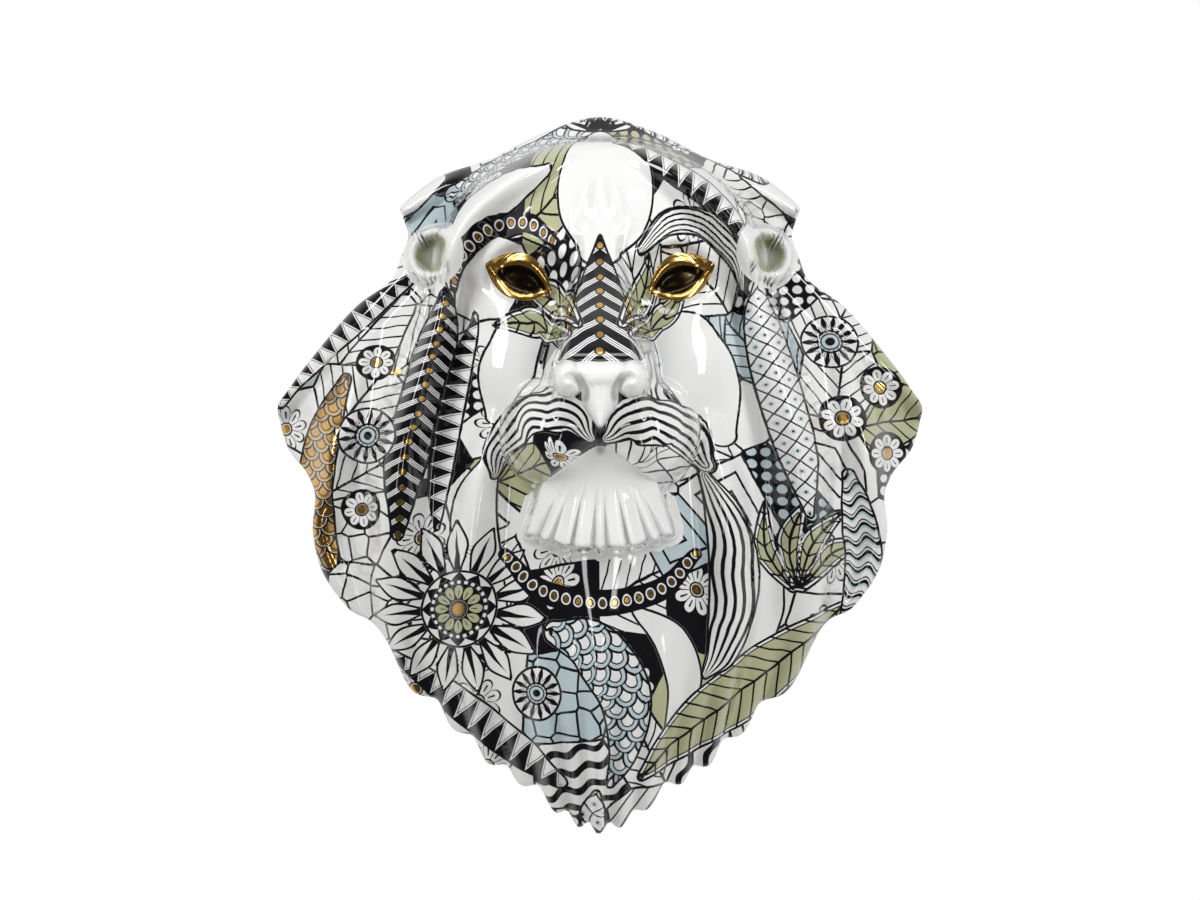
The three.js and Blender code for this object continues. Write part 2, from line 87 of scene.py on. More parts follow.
def bell(value: Array) -> Array:
    """A bell curve of height 1."""
    return np.exp(-value * value)


def mix(a: Any, b: Any, share: Any) -> Any:
    """Straight blend from a to b."""
    return a + (b - a) * share


def soft_max(a: Array, b: Array, blend: float) -> Array:
    """The larger of two heights.

    Args:
        a: First height.
        b: Second height.
        blend: Difference over which their meeting is rounded.

    Returns:
        The rounded larger height.
    """
    t = np.clip(0.5 + 0.5 * (a - b) / blend, 0, 1)
    return mix(b, a, t) + blend * t * (1 - t)


def through_keys(keys: Keys, value: Array) -> Array:
    """Smooth curve that never overshoots its keys.

    Args:
        keys: Rising pairs of place and value.
        value: Places at which the curve is wanted.

    Returns:
        The curve's values.
    """
    at, out = np.array(keys, float).T
    span = np.diff(at)
    slope = np.diff(out) / span
    tangent = np.zeros(len(at))
    for k in range(1, len(at) - 1):
        if slope[k - 1] * slope[k] > 0:
            before = 2 * span[k] + span[k - 1]
            after = span[k] + 2 * span[k - 1]
            tangent[k] = (before + after) / (before / slope[k - 1] + after / slope[k])
    i = np.clip(np.searchsorted(at, value) - 1, 0, len(at) - 2)
    t = np.clip((value - at[i]) / span[i], 0, 1)
    leave = t * (1 - t) ** 2 * span[i] * tangent[i]
    arrive = t * t * (t - 1) * span[i] * tangent[i + 1]
    return mix(out[i], out[i + 1], t * t * (3 - 2 * t)) + leave + arrive


def rounded_path(points: Array, steps: int) -> Array:
    """Smooth path through stated points.

    Args:
        points: One row per stated point, with any number of values.
        steps: Points laid from each stated one to the next.

    Returns:
        The rows of the smooth path.
    """
    first, last = 2 * points[0] - points[1], 2 * points[-1] - points[-2]
    keys = np.vstack([first, points, last])
    rows = []
    for a, b, c, d in zip(keys, keys[1:], keys[2:], keys[3:]):
        for t in np.arange(steps) / steps:
            bend = (2 * a - 5 * b + 4 * c - d) * t * t + (3 * b - a - 3 * c + d) * t ** 3
            rows.append(0.5 * (2 * b + (c - a) * t + bend))
    return np.array(rows + [points[-1]])


@dataclass
class Nearest:
    """What the nearest place on a path says to each point."""

    distance: Array
    along: Array
    outside: Array
    values: Array


def nearest_on(path: Array, x: Array, z: Array) -> Nearest:
    """Looks up the nearest place on a path.

    Args:
        path: Rows of x, z and any further values.
        x: Points across.
        z: Points up.

    Returns:
        Distance, length along the path, side of the path, and the path's further values.
    """
    distance = np.full(np.shape(x), math.inf)
    along = np.zeros_like(distance)
    outside = np.zeros_like(distance)
    values = np.zeros(np.shape(x) + (path.shape[1] - 2,))
    travelled = 0.0
    for a, b in zip(path[:-1], path[1:]):
        dx, dz = b[0] - a[0], b[1] - a[1]
        length = math.hypot(dx, dz)
        t = np.clip(((x - a[0]) * dx + (z - a[1]) * dz) / length ** 2, 0, 1)
        reach = np.hypot(x - a[0] - t * dx, z - a[1] - t * dz)
        near = reach < distance
        distance = np.where(near, reach, distance)
        along = np.where(near, travelled + t * length, along)
        side = np.where(dx * (z - a[1]) - dz * (x - a[0]) > 0, 1.0, -1.0)
        outside = np.where(near, side, outside)
        values[near] = (a[2:] + t[..., None] * (b - a)[2:])[near]
        travelled += length
    return Nearest(distance, along, outside, values)


@dataclass(frozen=True)
class Ball:
    """Upper side of an ellipsoid that rises from low at its edge to its crest."""

    x: float
    z: float
    half_width: float
    half_height: float
    low: float
    crest: float
    power: float = 2.0

    def height(self, x: Array, z: Array) -> Array:
        """Height at a place; it falls away steeply outside the edge."""
        across = np.abs((x - self.x) / self.half_width) ** self.power
        up = np.abs((z - self.z) / self.half_height) ** self.power
        u = (across + up) ** (1 / self.power)
        cap = (self.crest - self.low) * np.sqrt(np.clip(1 - u * u, 0, 1))
        skirt = BALL_SKIRT * min(self.half_width, self.half_height) * (u - 1)
        return self.low + np.where(u < 1, cap, -skirt)


@dataclass(frozen=True)
class Lock:
    """A lock of hair: rows of x, z, height, width away from the face and width towards it."""

    points: tuple[tuple[float, ...], ...]
    steps: int = 8

    def height(self, x: Array, z: Array) -> Array:
        """Height of the lock: full on its path, nothing at its widths."""
        near = nearest_on(rounded_path(np.array(self.points, float), self.steps), x, z)
        crest, away, towards = np.moveaxis(near.values, -1, 0)
        width = np.where(near.outside > 0, away, towards)
        return crest * ease(1, 0, near.distance / width)


# The carving

@dataclass(frozen=True)
class Scale:
    """Turns the carved figure's proportions into the mask's real millimetres."""

    x: float = 376 / 376.6
    y: float = 211 / 211.4
    z: float = 420 / 420.4


@dataclass
class Outline:
    """The mask's edge seen from the front, as reach from the pole by degrees from straight up."""

    pole: float = -112.0
    front: Keys = (
        (0, 182), (10, 176), (22, 168), (35, 175), (42, 174), (44.5, 159), (49, 152), (54, 147),
        (63, 157), (74, 169), (82, 181), (86.5, 188), (93, 183), (99, 171), (102.5, 168), (110, 176),
        (118, 181), (125, 179), (130, 174), (142, 182), (150, 187), (157, 195), (164, 205),
        (170, 212), (175.5, 226), (180, 232),
    )
    plain: Keys = (
        (0, 178), (25, 168), (45, 160), (65, 162), (90, 174), (120, 176), (150, 187), (166, 206),
        (180, 230),
    )
    back_share: float = 0.93
    back_inset: float = 3.0

    def degrees(self, x: Array, z: Array) -> Array:
        """Degrees from straight up, the same on both sides."""
        return np.abs(np.degrees(np.arctan2(x, z - self.pole)))

    def share(self, keys: Keys, x: Array, z: Array) -> Array:
        """Reach of a place as a share of an outline's reach."""
        return np.hypot(x, z - self.pole) / through_keys(keys, self.degrees(x, z))


@dataclass
class Skull:
    """The plain masses under the hair: dome, brow and cheeks."""

    outline: Outline
    rim: float = 24.0
    crown: float = 120.0
    brow: Ball = Ball(0, -14, 92, 66, 60, 120)
    brow_blend: float = 16.0
    cheek: Ball = Ball(54, -66, 27, 34, 0, 13)
    cheek_turn: float = -14.0

    def dome(self, x: Array, z: Array) -> Array:
        """The broad dome that reaches the edge."""
        share = self.outline.share(self.outline.plain, x, z)
        return self.rim + (self.crown - self.rim) * (1 - share * share)

    def height(self, x: Array, z: Array) -> Array:
        """Dome, brow and cheeks together, for x on the right half."""
        turn = math.radians(self.cheek_turn)
        dx, dz = x - self.cheek.x, z - self.cheek.z
        u = (dx * math.cos(turn) + dz * math.sin(turn)) / self.cheek.half_width
        v = (dz * math.cos(turn) - dx * math.sin(turn)) / self.cheek.half_height
        cheek = self.cheek.crest * np.exp(-((u * u + v * v) ** 1.5))
        return soft_max(self.dome(x, z), self.brow.height(x, z), self.brow_blend) + cheek


@dataclass
class Bridge:
    """The long flat ridge from the forehead down to the nose."""

    crest: Keys = (
        (-170, -80), (-145, 60), (-132, 140), (-118, 181), (-98, 192), (-78, 196), (-62, 184),
        (-40, 156), (-22, 134), (0, 116), (25, 84), (55, 30), (80, -60),
    )
    half: Keys = (
        (-130, 30), (-100, 28), (-76, 25), (-50, 20), (-30, 16), (-10, 15), (20, 20), (60, 26),
    )
    crown: float = 0.004
    edge: float = 8.0
    skirt: float = 24.0
    drop: float = 150.0
    blend: float = 8.0

    def height(self, x: Array, z: Array) -> Array:
        """The ridge's height, for x on the right half."""
        half = through_keys(self.half, z)
        fall = self.drop * ease(half - self.edge, half + self.skirt, x)
        return through_keys(self.crest, z) - self.crown * x * x - fall


@dataclass
class Muzzle:
    """The two lobes of the upper lip, the mouth under them and the fluted chin tuft."""

    lobe: Ball = Ball(25, -115, 31, 33.5, 112, 190)
    lobe_blend: float = 12.0
    mouth: float = -121.5
    mouth_slope: float = 0.74
    mouth_round: float = 4.0
    mouth_reach: float = 42.0
    lip_edge: float = 1.8
    fade_z: Pair = (-108.0, -112.0)
    fade_x: Pair = (62.0, 54.0)
    philtrum: float = 5.0
    philtrum_half: float = 2.2
    philtrum_low: Pair = (-127.0, -121.0)
    philtrum_high: Pair = (-110.0, -116.0)
    tuft_top: float = -121.0
    tuft_hem: float = -184.0
    tuft_beyond: float = 1.3
    tuft_halves: Pair = (35.0, 54.0)
    tuft_crests: Pair = (173.0, 165.0)
    hem_edge: Pair = (-7.0, 10.0)
    hem_wave: float = 2.0
    side_edge: Pair = (4.0, -11.0)
    fan_z: float = -100.0
    flute_turn: float = 7.5
    flute_sway: float = 0.5
    sway_turns: float = 1.3
    flute: float = 8.0
    flute_grow: Pair = (0.3, 0.9)
    sag: float = 38.0
    lift: float = 15.0
    spread: float = 56.0
    low: float = 20.0

    def over_lip(self, x: Array, z: Array) -> Array:
        """1 above the mouth's line and 0 under it."""
        far = np.hypot(np.minimum(x, self.mouth_reach), self.mouth_round) - self.mouth_round
        line = self.mouth - self.mouth_slope * far
        return ease(-self.lip_edge, self.lip_edge, z - line)

    def groove(self, x: Array, z: Array) -> Array:
        """Depth of the groove between the lobes."""
        ends = ease(*self.philtrum_low, z) * ease(*self.philtrum_high, z)
        return self.philtrum * bell(x / self.philtrum_half) * ends

    def down_tuft(self, z: Array) -> Array:
        """Way down the tuft: 0 at its top and 1 at its hem."""
        way = (self.tuft_top - z) / (self.tuft_top - self.tuft_hem)
        return np.clip(way, 0, self.tuft_beyond)

    def tuft_share(self, x: Array, z: Array) -> Array:
        """1 on the tuft and 0 beside it, for x on the right half."""
        half = mix(*self.tuft_halves, self.down_tuft(z))
        lift = self.lift * (x / self.spread) ** 2
        hem = self.tuft_hem - self.hem_wave * self.rib(x, z) + lift
        return ease(*self.hem_edge, z - hem) * ease(*self.side_edge, x - half)

    def rib(self, x: Array, z: Array) -> Array:
        """Wave of the tuft's flutes, which fan out from above the mouth."""
        fan = np.arctan2(x, self.fan_z - z)
        turns = fan * math.pi / math.radians(self.flute_turn)
        return np.abs(np.cos(turns + self.flute_sway * np.sin(self.sway_turns * turns)))

    def tuft(self, x: Array, z: Array) -> Array:
        """Height of the chin tuft, for x on the right half."""
        t = self.down_tuft(z)
        flute = self.flute * self.rib(x, z) * ease(*self.flute_grow, t)
        crest = mix(*self.tuft_crests, t) + flute - self.sag * (x / self.spread) ** 2
        return mix(self.low, crest, self.tuft_share(x, z))


@dataclass
class Nose:
    """The nose leather: a bar, two round wings with nostrils and a drop between them."""

    bar: Ball = Ball(0, -84.5, 21, 8.8, 188, 208, 3)
    wing: Ball = Ball(16.8, -86.2, 9.2, 10.2, 191, 211)
    drop_top: float = -96.0
    drop_tip: float = -116.0
    drop_halves: Pair = (0.8, 10.5)
    drop_rise: float = 18.0
    drop_steep: float = 6.0
    drop_under: float = 250.0
    drop_upper_end: Pair = (-82.0, -76.0)
    drop_lower_end: Pair = (5.0, -7.0)
    wing_blend: float = 2.0
    drop_blend: float = 4.0
    dip: float = 2.0
    dip_half: float = 6.0
    dip_ends: Pair = (-92.0, -78.0)
    crease: float = 1.2
    crease_half: float = 1.8
    crease_ends: Pair = (-86.0, -93.0)
    nostril: Lock = Lock((
        (19, -87, -1, 2.4, 3), (14.6, -85.6, -7, 3.4, 3.6), (10.4, -88.2, -9, 3.6, 4),
        (8.4, -93.5, -7, 3, 3.4), (8, -100, -1, 2, 2.4),
    ))
    side_edge: float = 24.5
    side_reach: float = 12.0
    side_fall: float = 200.0

    def height(self, x: Array, z: Array) -> Array:
        """Height of the nose, for x on the right half."""
        half = mix(*self.drop_halves, ease(self.drop_tip, self.drop_top, z))
        u = x / half
        cap = self.drop_rise * np.sqrt(np.clip(1 - u * u, 0, 1))
        fall = -self.drop_steep * half * (u - 1)
        ends = ease(*self.drop_upper_end, z) + ease(*self.drop_lower_end, z - self.drop_tip)
        drop = self.bar.low + np.where(u < 1, cap, fall) - self.drop_under * ends
        bar = soft_max(self.bar.height(x, z), self.wing.height(x, z), self.wing_blend)
        crease = self.crease * bell(x / self.crease_half) * ease(*self.crease_ends, z)
        dip = self.dip * bell(x / self.dip_half) * ease(*self.dip_ends, z) + crease
        beside = self.side_fall * ease(self.side_edge, self.side_edge + self.side_reach, x)
        nose = soft_max(bar, drop, self.drop_blend) - dip - beside
        return nose + self.nostril.height(x, z)


@dataclass
class Eye:
    """An almond eye with raised lids in a socket under the brow."""

    x: float = 44.0
    z: float = -29.5
    turn: float = 21.0
    half: float = 16.6
    upper: float = 9.0
    lower: float = 8.5
    corner: float = -1.5
    socket_depth: float = 10.0
    socket_half: float = 20.0
    socket_drop: float = 12.5
    socket_lower: float = 1.0
    lid_rise: float = 5.0
    lid_half: float = 3.1
    lid_offset: float = 1.2
    lid_fullness: float = 2.4
    lid_ends: Pair = (24.0, 18.0)
    ball_rise: float = 5.5
    ball_edge: float = 7.5
    brow: Lock = Lock((
        (15, -20, 3, 9, 7), (32, -10, 9, 11, 7), (50, -8, 10, 12, 7), (70, -24, 5, 10, 9),
    ))

    def along_across(self, x: Array, z: Array) -> tuple[Array, Array]:
        """Coordinates along the eye's slanted axis and across it."""
        turn = math.radians(self.turn)
        dx, dz = x - self.x, z - self.z
        along = dx * math.cos(turn) + dz * math.sin(turn)
        return along, dz * math.cos(turn) - dx * math.sin(turn)

    def edge_distance(self, x: Array, z: Array) -> Array:
        """Distance outside the almond's edge, negative within it."""
        along, across = self.along_across(x, z)
        bow = np.maximum(1 - (along / self.half) ** 2, self.corner)
        return np.maximum(across - self.upper * bow, -self.lower * bow - across)

    def rise(self, x: Array, z: Array) -> Array:
        """Brow, socket, lids and eyeball, to be added to the head."""
        along, across = self.along_across(x, z)
        edge = self.edge_distance(x, z)
        down = (across + self.socket_lower) / self.socket_drop
        socket = self.socket_depth * np.exp(-((along / self.socket_half) ** 4) - down ** 2)
        from_crest = np.abs((edge - self.lid_offset) / self.lid_half)
        lid = self.lid_rise * np.exp(-(from_crest ** self.lid_fullness))
        lid = lid * ease(*self.lid_ends, np.abs(along))
        ball = self.ball_rise * np.sqrt(np.clip(-edge / self.ball_edge, 0, 1))
        return self.brow.height(x, z) + lid + ball - socket


@dataclass
class Ear:
    """A small round ear with a bowl in it."""

    x: float = 95.0
    z: float = -13.0
    radius: float = 13.5
    tall: float = 1.05
    rim: float = 4.5
    rise: float = 33.0
    bowl: float = 0.3
    well: float = 8.5
    ring: float = 2.5

    def distance(self, x: Array, z: Array) -> Array:
        """Distance from the ear's middle, for x on the right half."""
        return np.hypot(x - self.x, (z - self.z) / self.tall)

    def height(self, x: Array, z: Array) -> Array:
        """Height of the ear over the head."""
        distance = self.distance(x, z)
        edge = ease(self.radius + self.rim, self.radius, distance)
        out_of_bowl = ease(self.well, self.radius - self.ring, distance)
        return self.rise * edge * mix(self.bowl, 1, out_of_bowl)


@dataclass
class Mane:
    """Locks round the face, and pleats that run down to the scalloped hem."""

    outline: Outline
    locks: tuple[Lock, ...] = (
        Lock((
            (3, 52, 3, 12, 12), (28, 39, 14, 15, 13), (56, 21, 25, 16, 14), (76, 2, 31, 15, 14),
            (86, -22, 35, 14, 13), (92, -54, 34, 20, 15), (103, -92, 32, 24, 19),
            (115, -132, 30, 24, 26), (121, -182, 22, 16, 32), (120, -226, 15, 13, 28),
            (108, -262, 5, 12, 20),
        )),
        Lock(((16, 60, 2, 14, 14), (66, 43, 15, 18, 14), (118, 13, 19, 16, 6))),
        Lock(((112, -20, 14, 16, 16), (146, -52, 17, 20, 20), (190, -100, 19, 15, 10))),
        Lock((
            (134, -56, 10, 18, 12), (146, -104, 17, 22, 15), (156, -144, 20, 22, 17),
            (163, -178, 19, 18, 20), (150, -220, 9, 12, 18),
        )),
        Lock((
            (60, -112, 8, 16, 14), (70, -150, 18, 20, 22), (76, -200, 17, 22, 26),
            (70, -262, 6, 18, 20),
        )),
    )
    blend: float = 2.5
    pitch: float = 20.0
    vanish_z: float = -570.0
    hem_z: float = -230.0
    sway: float = 2.2
    sway_pitch: float = 15.0
    sway_phase: float = 0.6
    fine: float = 6.5
    fine_fullness: float = 0.8
    broad: float = 4.5
    broad_phase: float = 0.5
    low_z: Pair = (-190.0, -270.0)
    low_share: Pair = (0.3, 0.95)
    flank: float = 0.7
    flank_x: Pair = (118.0, 134.0)
    flank_top: Pair = (-70.0, -110.0)
    flank_bottom: Pair = (-240.0, -200.0)
    scallop: float = 6.0
    scallop_z: Pair = (-205.0, -245.0)

    def lock_rise(self, x: Array, z: Array) -> Array:
        """Height of the locks, for x on the right half."""
        rise = self.locks[0].height(x, z)
        for lock in self.locks[1:]:
            rise = soft_max(rise, lock.height(x, z), self.blend)
        return rise

    def pleat_turn(self, x: Array, z: Array) -> Array:
        """Phase of the pleats, which meet far under the hem."""
        across = x * (self.hem_z - self.vanish_z) / (z - self.vanish_z)
        across = across + self.sway * np.sin(across / self.sway_pitch + self.sway_phase)
        return 2 * math.pi * across / self.pitch

    def fine_pleat(self, x: Array, z: Array) -> Array:
        """Wave of the narrow pleats, from 0 to 1."""
        return (0.5 + 0.5 * np.cos(self.pleat_turn(x, z))) ** self.fine_fullness

    def pleat_rise(self, x: Array, z: Array) -> Array:
        """Height of the pleats; x keeps its sign."""
        side = np.abs(x)
        share = self.outline.share(self.outline.front, x, z)
        low = ease(*self.low_z, z) * ease(*self.low_share, share)
        flank_ends = ease(*self.flank_top, z) * ease(*self.flank_bottom, z)
        flank = self.flank * ease(*self.flank_x, side) * flank_ends
        broad = 0.5 + 0.5 * np.cos(0.5 * self.pleat_turn(x, z) + self.broad_phase)
        wave = self.fine * self.fine_pleat(x, z) + self.broad * broad
        return wave * np.clip(low + flank, 0, 1)

    def front_reach(self, angle: Array) -> Array:
        """Reach of the scalloped front edge."""
        degrees = np.abs(np.degrees(np.arctan2(np.sin(angle), np.cos(angle))))
        reach = through_keys(self.outline.front, degrees)
        x, z = reach * np.sin(angle), self.outline.pole + reach * np.cos(angle)
        return reach + ease(*self.scallop_z, z) * self.scallop * (self.fine_pleat(x, z) - 0.5)

    def back_reach(self, angle: Array) -> Array:
        """Reach of the back edge, which lies inside the front one."""
        degrees = np.abs(np.degrees(np.arctan2(np.sin(angle), np.cos(angle))))
        plain = through_keys(self.outline.plain, degrees) * self.outline.back_share
        return np.minimum(plain, self.front_reach(angle) - self.outline.back_inset)


@dataclass
class Forehead:
    """The crease up the middle of the forehead, and the fold on each side of it."""

    crease: float = 3.2
    crease_half: float = 4.5
    crease_low: Pair = (-12.0, 4.0)
    crease_high: Pair = (40.0, 22.0)
    fold: float = 2.2
    fold_x: float = 13.0
    fold_z: float = 2.0
    fold_half: float = 3.2
    fold_turn: float = 0.28
    fold_low: Pair = (-36.0, -20.0)
    fold_high: Pair = (38.0, 20.0)

    def rise(self, x: Array, z: Array) -> Array:
        """What is added to the head, for x on the right half."""
        crease = self.crease * bell(x / self.crease_half)
        crease = crease * ease(*self.crease_low, z) * ease(*self.crease_high, z)
        from_fold = x - self.fold_x + self.fold_turn * np.abs(z - self.fold_z)
        fold = self.fold * bell(from_fold / self.fold_half)
        return fold * ease(*self.fold_low, z) * ease(*self.fold_high, z) - crease


@dataclass
class LionHead:
    """The whole carved face as heights off the wall."""

    outline: Outline = field(default_factory=Outline)
    bridge: Bridge = field(default_factory=Bridge)
    muzzle: Muzzle = field(default_factory=Muzzle)
    nose: Nose = field(default_factory=Nose)
    forehead: Forehead = field(default_factory=Forehead)
    eye: Eye = field(default_factory=Eye)
    ear: Ear = field(default_factory=Ear)
    mass_blend: float = 5.0
    nose_blend: float = 2.5
    ear_blend: float = 4.0
    chart_steps: int = 36
    chart_climb: float = 0.7
    hollow_ball: Ball = Ball(0, -106, 46, 32, 100, 168)
    hollow_blend: float = 10.0
    hollow_locks: float = 0.8
    hollow_soften: float = 9.0
    hollow_steepest: float = 2.6
    wall: float = 6.0

    def __post_init__(self) -> None:
        """Builds the parts that share the outline."""
        self.skull = Skull(self.outline)
        self.mane = Mane(self.outline)

    def head(self, x: Array, z: Array) -> Array:
        """Skull and bridge, for x on the right half."""
        return soft_max(self.skull.height(x, z), self.bridge.height(x, z), self.bridge.blend)

    def outer(self, x: Array, z: Array) -> Array:
        """Height of the outer surface; x keeps its sign."""
        side = np.abs(x)
        muzzle = self.muzzle
        lobes = soft_max(muzzle.lobe.height(side, z), self.bridge.height(side, z), muzzle.lobe_blend)
        upper = soft_max(self.head(side, z), lobes, self.mass_blend)
        lower = soft_max(self.skull.dome(side, z), muzzle.tuft(side, z), self.mass_blend)
        zone = ease(*muzzle.fade_z, z) * ease(*muzzle.fade_x, side)
        height = mix(upper, mix(lower, upper, muzzle.over_lip(side, z)), zone)
        nose = self.nose.height(side, z)
        height = soft_max(height - muzzle.groove(side, z), nose, self.nose_blend)
        height = height + self.forehead.rise(side, z) + self.eye.rise(side, z)
        locks = self.mane.lock_rise(side, z)
        hair = soft_max(locks, self.ear.height(side, z), self.ear_blend)
        return height + hair + self.mane.pleat_rise(x, z)

    def plain(self, x: Array, z: Array) -> Array:
        """The plain masses that the hollow and the painter's chart follow."""
        side = np.abs(x)
        return soft_max(self.head(side, z), self.hollow_ball.height(side, z), self.hollow_blend)

    def soft_locks(self, x: Array, z: Array) -> Array:
        """The locks as the inside shows them."""
        reach = self.hollow_soften
        around = ((0, 0), (reach, 0), (-reach, 0), (0, reach), (0, -reach))
        rises = [self.mane.lock_rise(np.abs(x + dx), z + dz) for dx, dz in around]
        return self.hollow_locks * sum(rises) / len(around)

    def hollow(self, x: Array, z: Array) -> Array:
        """Height of the inner surface, one wall thickness in."""
        def inside(px: Array, pz: Array) -> Array:
            """Plain masses with the softened locks."""
            return self.plain(px, pz) + self.soft_locks(px, pz)

        slope_x = (inside(x + 1, z) - inside(x - 1, z)) / 2
        slope_z = (inside(x, z + 1) - inside(x, z - 1)) / 2
        steep = np.minimum(np.sqrt(1 + slope_x ** 2 + slope_z ** 2), self.hollow_steepest)
        return np.minimum(inside(x, z) - self.wall * steep, self.outer(x, z) - self.wall)

    def chart(self, x: Array, z: Array) -> tuple[Array, Array]:
        """Flat coordinates of the painting.

        Args:
            x: Places across.
            z: Places up.

        Returns:
            Millimetres to the right and up, measured along the surface from the pole.
        """
        steps = self.chart_steps
        reach = np.hypot(x, z - self.outline.pole)
        shares = np.linspace(0, 1, steps + 1)
        heights = [self.plain(x * s, mix(self.outline.pole, z, s)) for s in shares]
        climbs = np.diff(np.array(heights), axis=0) * self.chart_climb
        walked = np.hypot(reach / steps, climbs).sum(axis=0)
        stretch = walked / np.maximum(reach, SAME_PLACE)
        return x * stretch, (z - self.outline.pole) * stretch


# The shell

@dataclass
class Shell:
    """The cast shell as one closed grid, with the flat web and its keyhole in the back."""

    head: LionHead
    scale: Scale = Scale()
    columns: int = 480
    gather: float = 0.3
    face_rings: int = 150
    side_rings: int = 8
    wall_rings: int = 2
    hollow_rings: int = 32
    samples: int = 640
    evenings: int = 24
    climb_weight: float = 0.8
    middle_weight: float = 2.0
    middle_reach: float = 80.0
    side_bulge: float = 2.2
    rim: float = 6.0
    web_thickness: float = 7.0
    web_lower_edge: float = -26.0
    web_steps: int = 240
    keyhole_height: float = 20.0
    keyhole_diameter: float = 13.0
    slot_width: float = 6.5
    slot_rise: float = 13.0
    crisp_angle: float = 50.0
    snap: float = 1e-5

    def angles(self) -> Array:
        """Angles of the columns, gathered at the hem."""
        turn = 2 * math.pi * np.arange(self.columns) / self.columns
        return turn + self.gather * np.sin(turn)

    def place(self, angle: Array, reach: Array) -> tuple[Array, Array]:
        """Place on the front view at an angle and a reach from the pole."""
        return reach * np.sin(angle), self.head.outline.pole + reach * np.cos(angle)

    def ring_reaches(
        self, angle: Array, edge: Array, height_at: Callable[[Array, Array], Array], rings: int
    ) -> Array:
        """Reaches of the rings over one surface.

        Args:
            angle: Angles of the columns.
            edge: Reach of the outermost ring at each angle.
            height_at: Height of the surface at places across and up.
            rings: How many rings there are.

        Returns:
            One row per ring and one column per angle, closer together where the surface climbs.
        """
        reach = np.linspace(0, 1, self.samples + 1)[:, None] * edge
        height = height_at(*self.place(angle, reach))
        climb = np.hypot(np.diff(reach, axis=0), self.climb_weight * np.diff(height, axis=0))
        climb = climb * (1 + self.middle_weight * bell(reach[1:] / self.middle_reach))
        for _ in range(self.evenings):
            climb = 0.5 * climb + 0.25 * (np.roll(climb, 1, 1) + np.roll(climb, -1, 1))
        walked = np.vstack([np.zeros(len(angle)), np.cumsum(climb, axis=0)])
        wanted = np.arange(1, rings + 1) / rings
        columns = [np.interp(wanted * w[-1], w, r) for w, r in zip(walked.T, reach.T)]
        return np.array(columns).T

    def grid(self) -> tuple[Array, Array]:
        """Points of the shell.

        Returns:
            Rows of x, height and z, ring after ring and column after column between two single
            poles; and for each point its way beyond the front edge, or -1 behind the rim.
        """
        angle = self.angles()
        head = self.head
        front, back = head.mane.front_reach(angle), head.mane.back_reach(angle)
        inner = back - self.rim
        reaches = self.ring_reaches(angle, front, head.outer, self.face_rings)
        face_x, face_z = self.place(angle, reaches)
        rings = [(face_x, head.outer(face_x, face_z), face_z)]
        beyond = [np.zeros(reaches.shape)]
        edge = rings[0][1][-1]
        share = (np.arange(1, self.side_rings + 1) / self.side_rings)[:, None]
        side_x, side_z = self.place(angle, mix(front, back, share ** self.side_bulge))
        rings.append((side_x, edge * (1 - share), side_z))
        beyond.append(edge * share)
        inner_x, inner_z = self.place(angle, inner)
        lip = head.hollow(inner_x, inner_z)
        rise = (np.arange(self.wall_rings) / self.wall_rings)[:, None]
        ones = np.ones((self.wall_rings, 1))
        rings.append((inner_x * ones, lip * rise, inner_z * ones))
        deep = self.ring_reaches(angle, inner, head.plain, self.hollow_rings)[::-1]
        deep_x, deep_z = self.place(angle, deep)
        rings.append((deep_x, head.hollow(deep_x, deep_z), deep_z))
        beyond += [np.full(ring[0].shape, -1.0) for ring in rings[2:]]
        points = np.stack([np.vstack(part) for part in zip(*rings)], axis=-1).reshape(-1, 3)
        pole = np.array([0.0]), np.array([head.outline.pole])
        first = [[0, head.outer(*pole)[0], head.outline.pole]]
        last = [[0, head.hollow(*pole)[0], head.outline.pole]]
        way = np.concatenate([[0.0], np.vstack(beyond).ravel(), [-1.0]])
        return np.vstack([first, points, last]), way

    def faces(self, count: int) -> list[tuple[int, ...]]:
        """Quads between the rings and triangles round the two poles, facing outward."""
        n = self.columns
        rings = (count - 2) // n
        faces = [(0, 1 + (j + 1) % n, 1 + j) for j in range(n)]
        for i in range(rings - 1):
            a, b = 1 + i * n, 1 + (i + 1) * n
            faces += [(a + j, a + (j + 1) % n, b + (j + 1) % n, b + j) for j in range(n)]
        a = 1 + (rings - 1) * n
        faces += [(count - 1, a + j, a + (j + 1) % n) for j in range(n)]
        return faces

    def real(self, points: Array) -> Array:
        """Figure points of x, height and z as places in metres."""
        size = np.array([self.scale.x, -self.scale.y, self.scale.z]) * METRES
        return points * size

    def web_outline(self) -> list[tuple[float, float, float]]:
        """Corners of the web's flat outline, in metres."""
        angle = np.linspace(-math.pi, math.pi, self.web_steps + 1)[:-1]
        x, z = self.place(angle, self.head.mane.back_reach(angle) - self.rim / 2)
        corners = self.real(np.stack([x, 0 * x, z], axis=-1))
        low = self.web_lower_edge * METRES
        corners = [tuple(c) for c in corners if c[2] >= low]
        return [(corners[0][0], 0.0, low)] + corners + [(corners[-1][0], 0.0, low)]

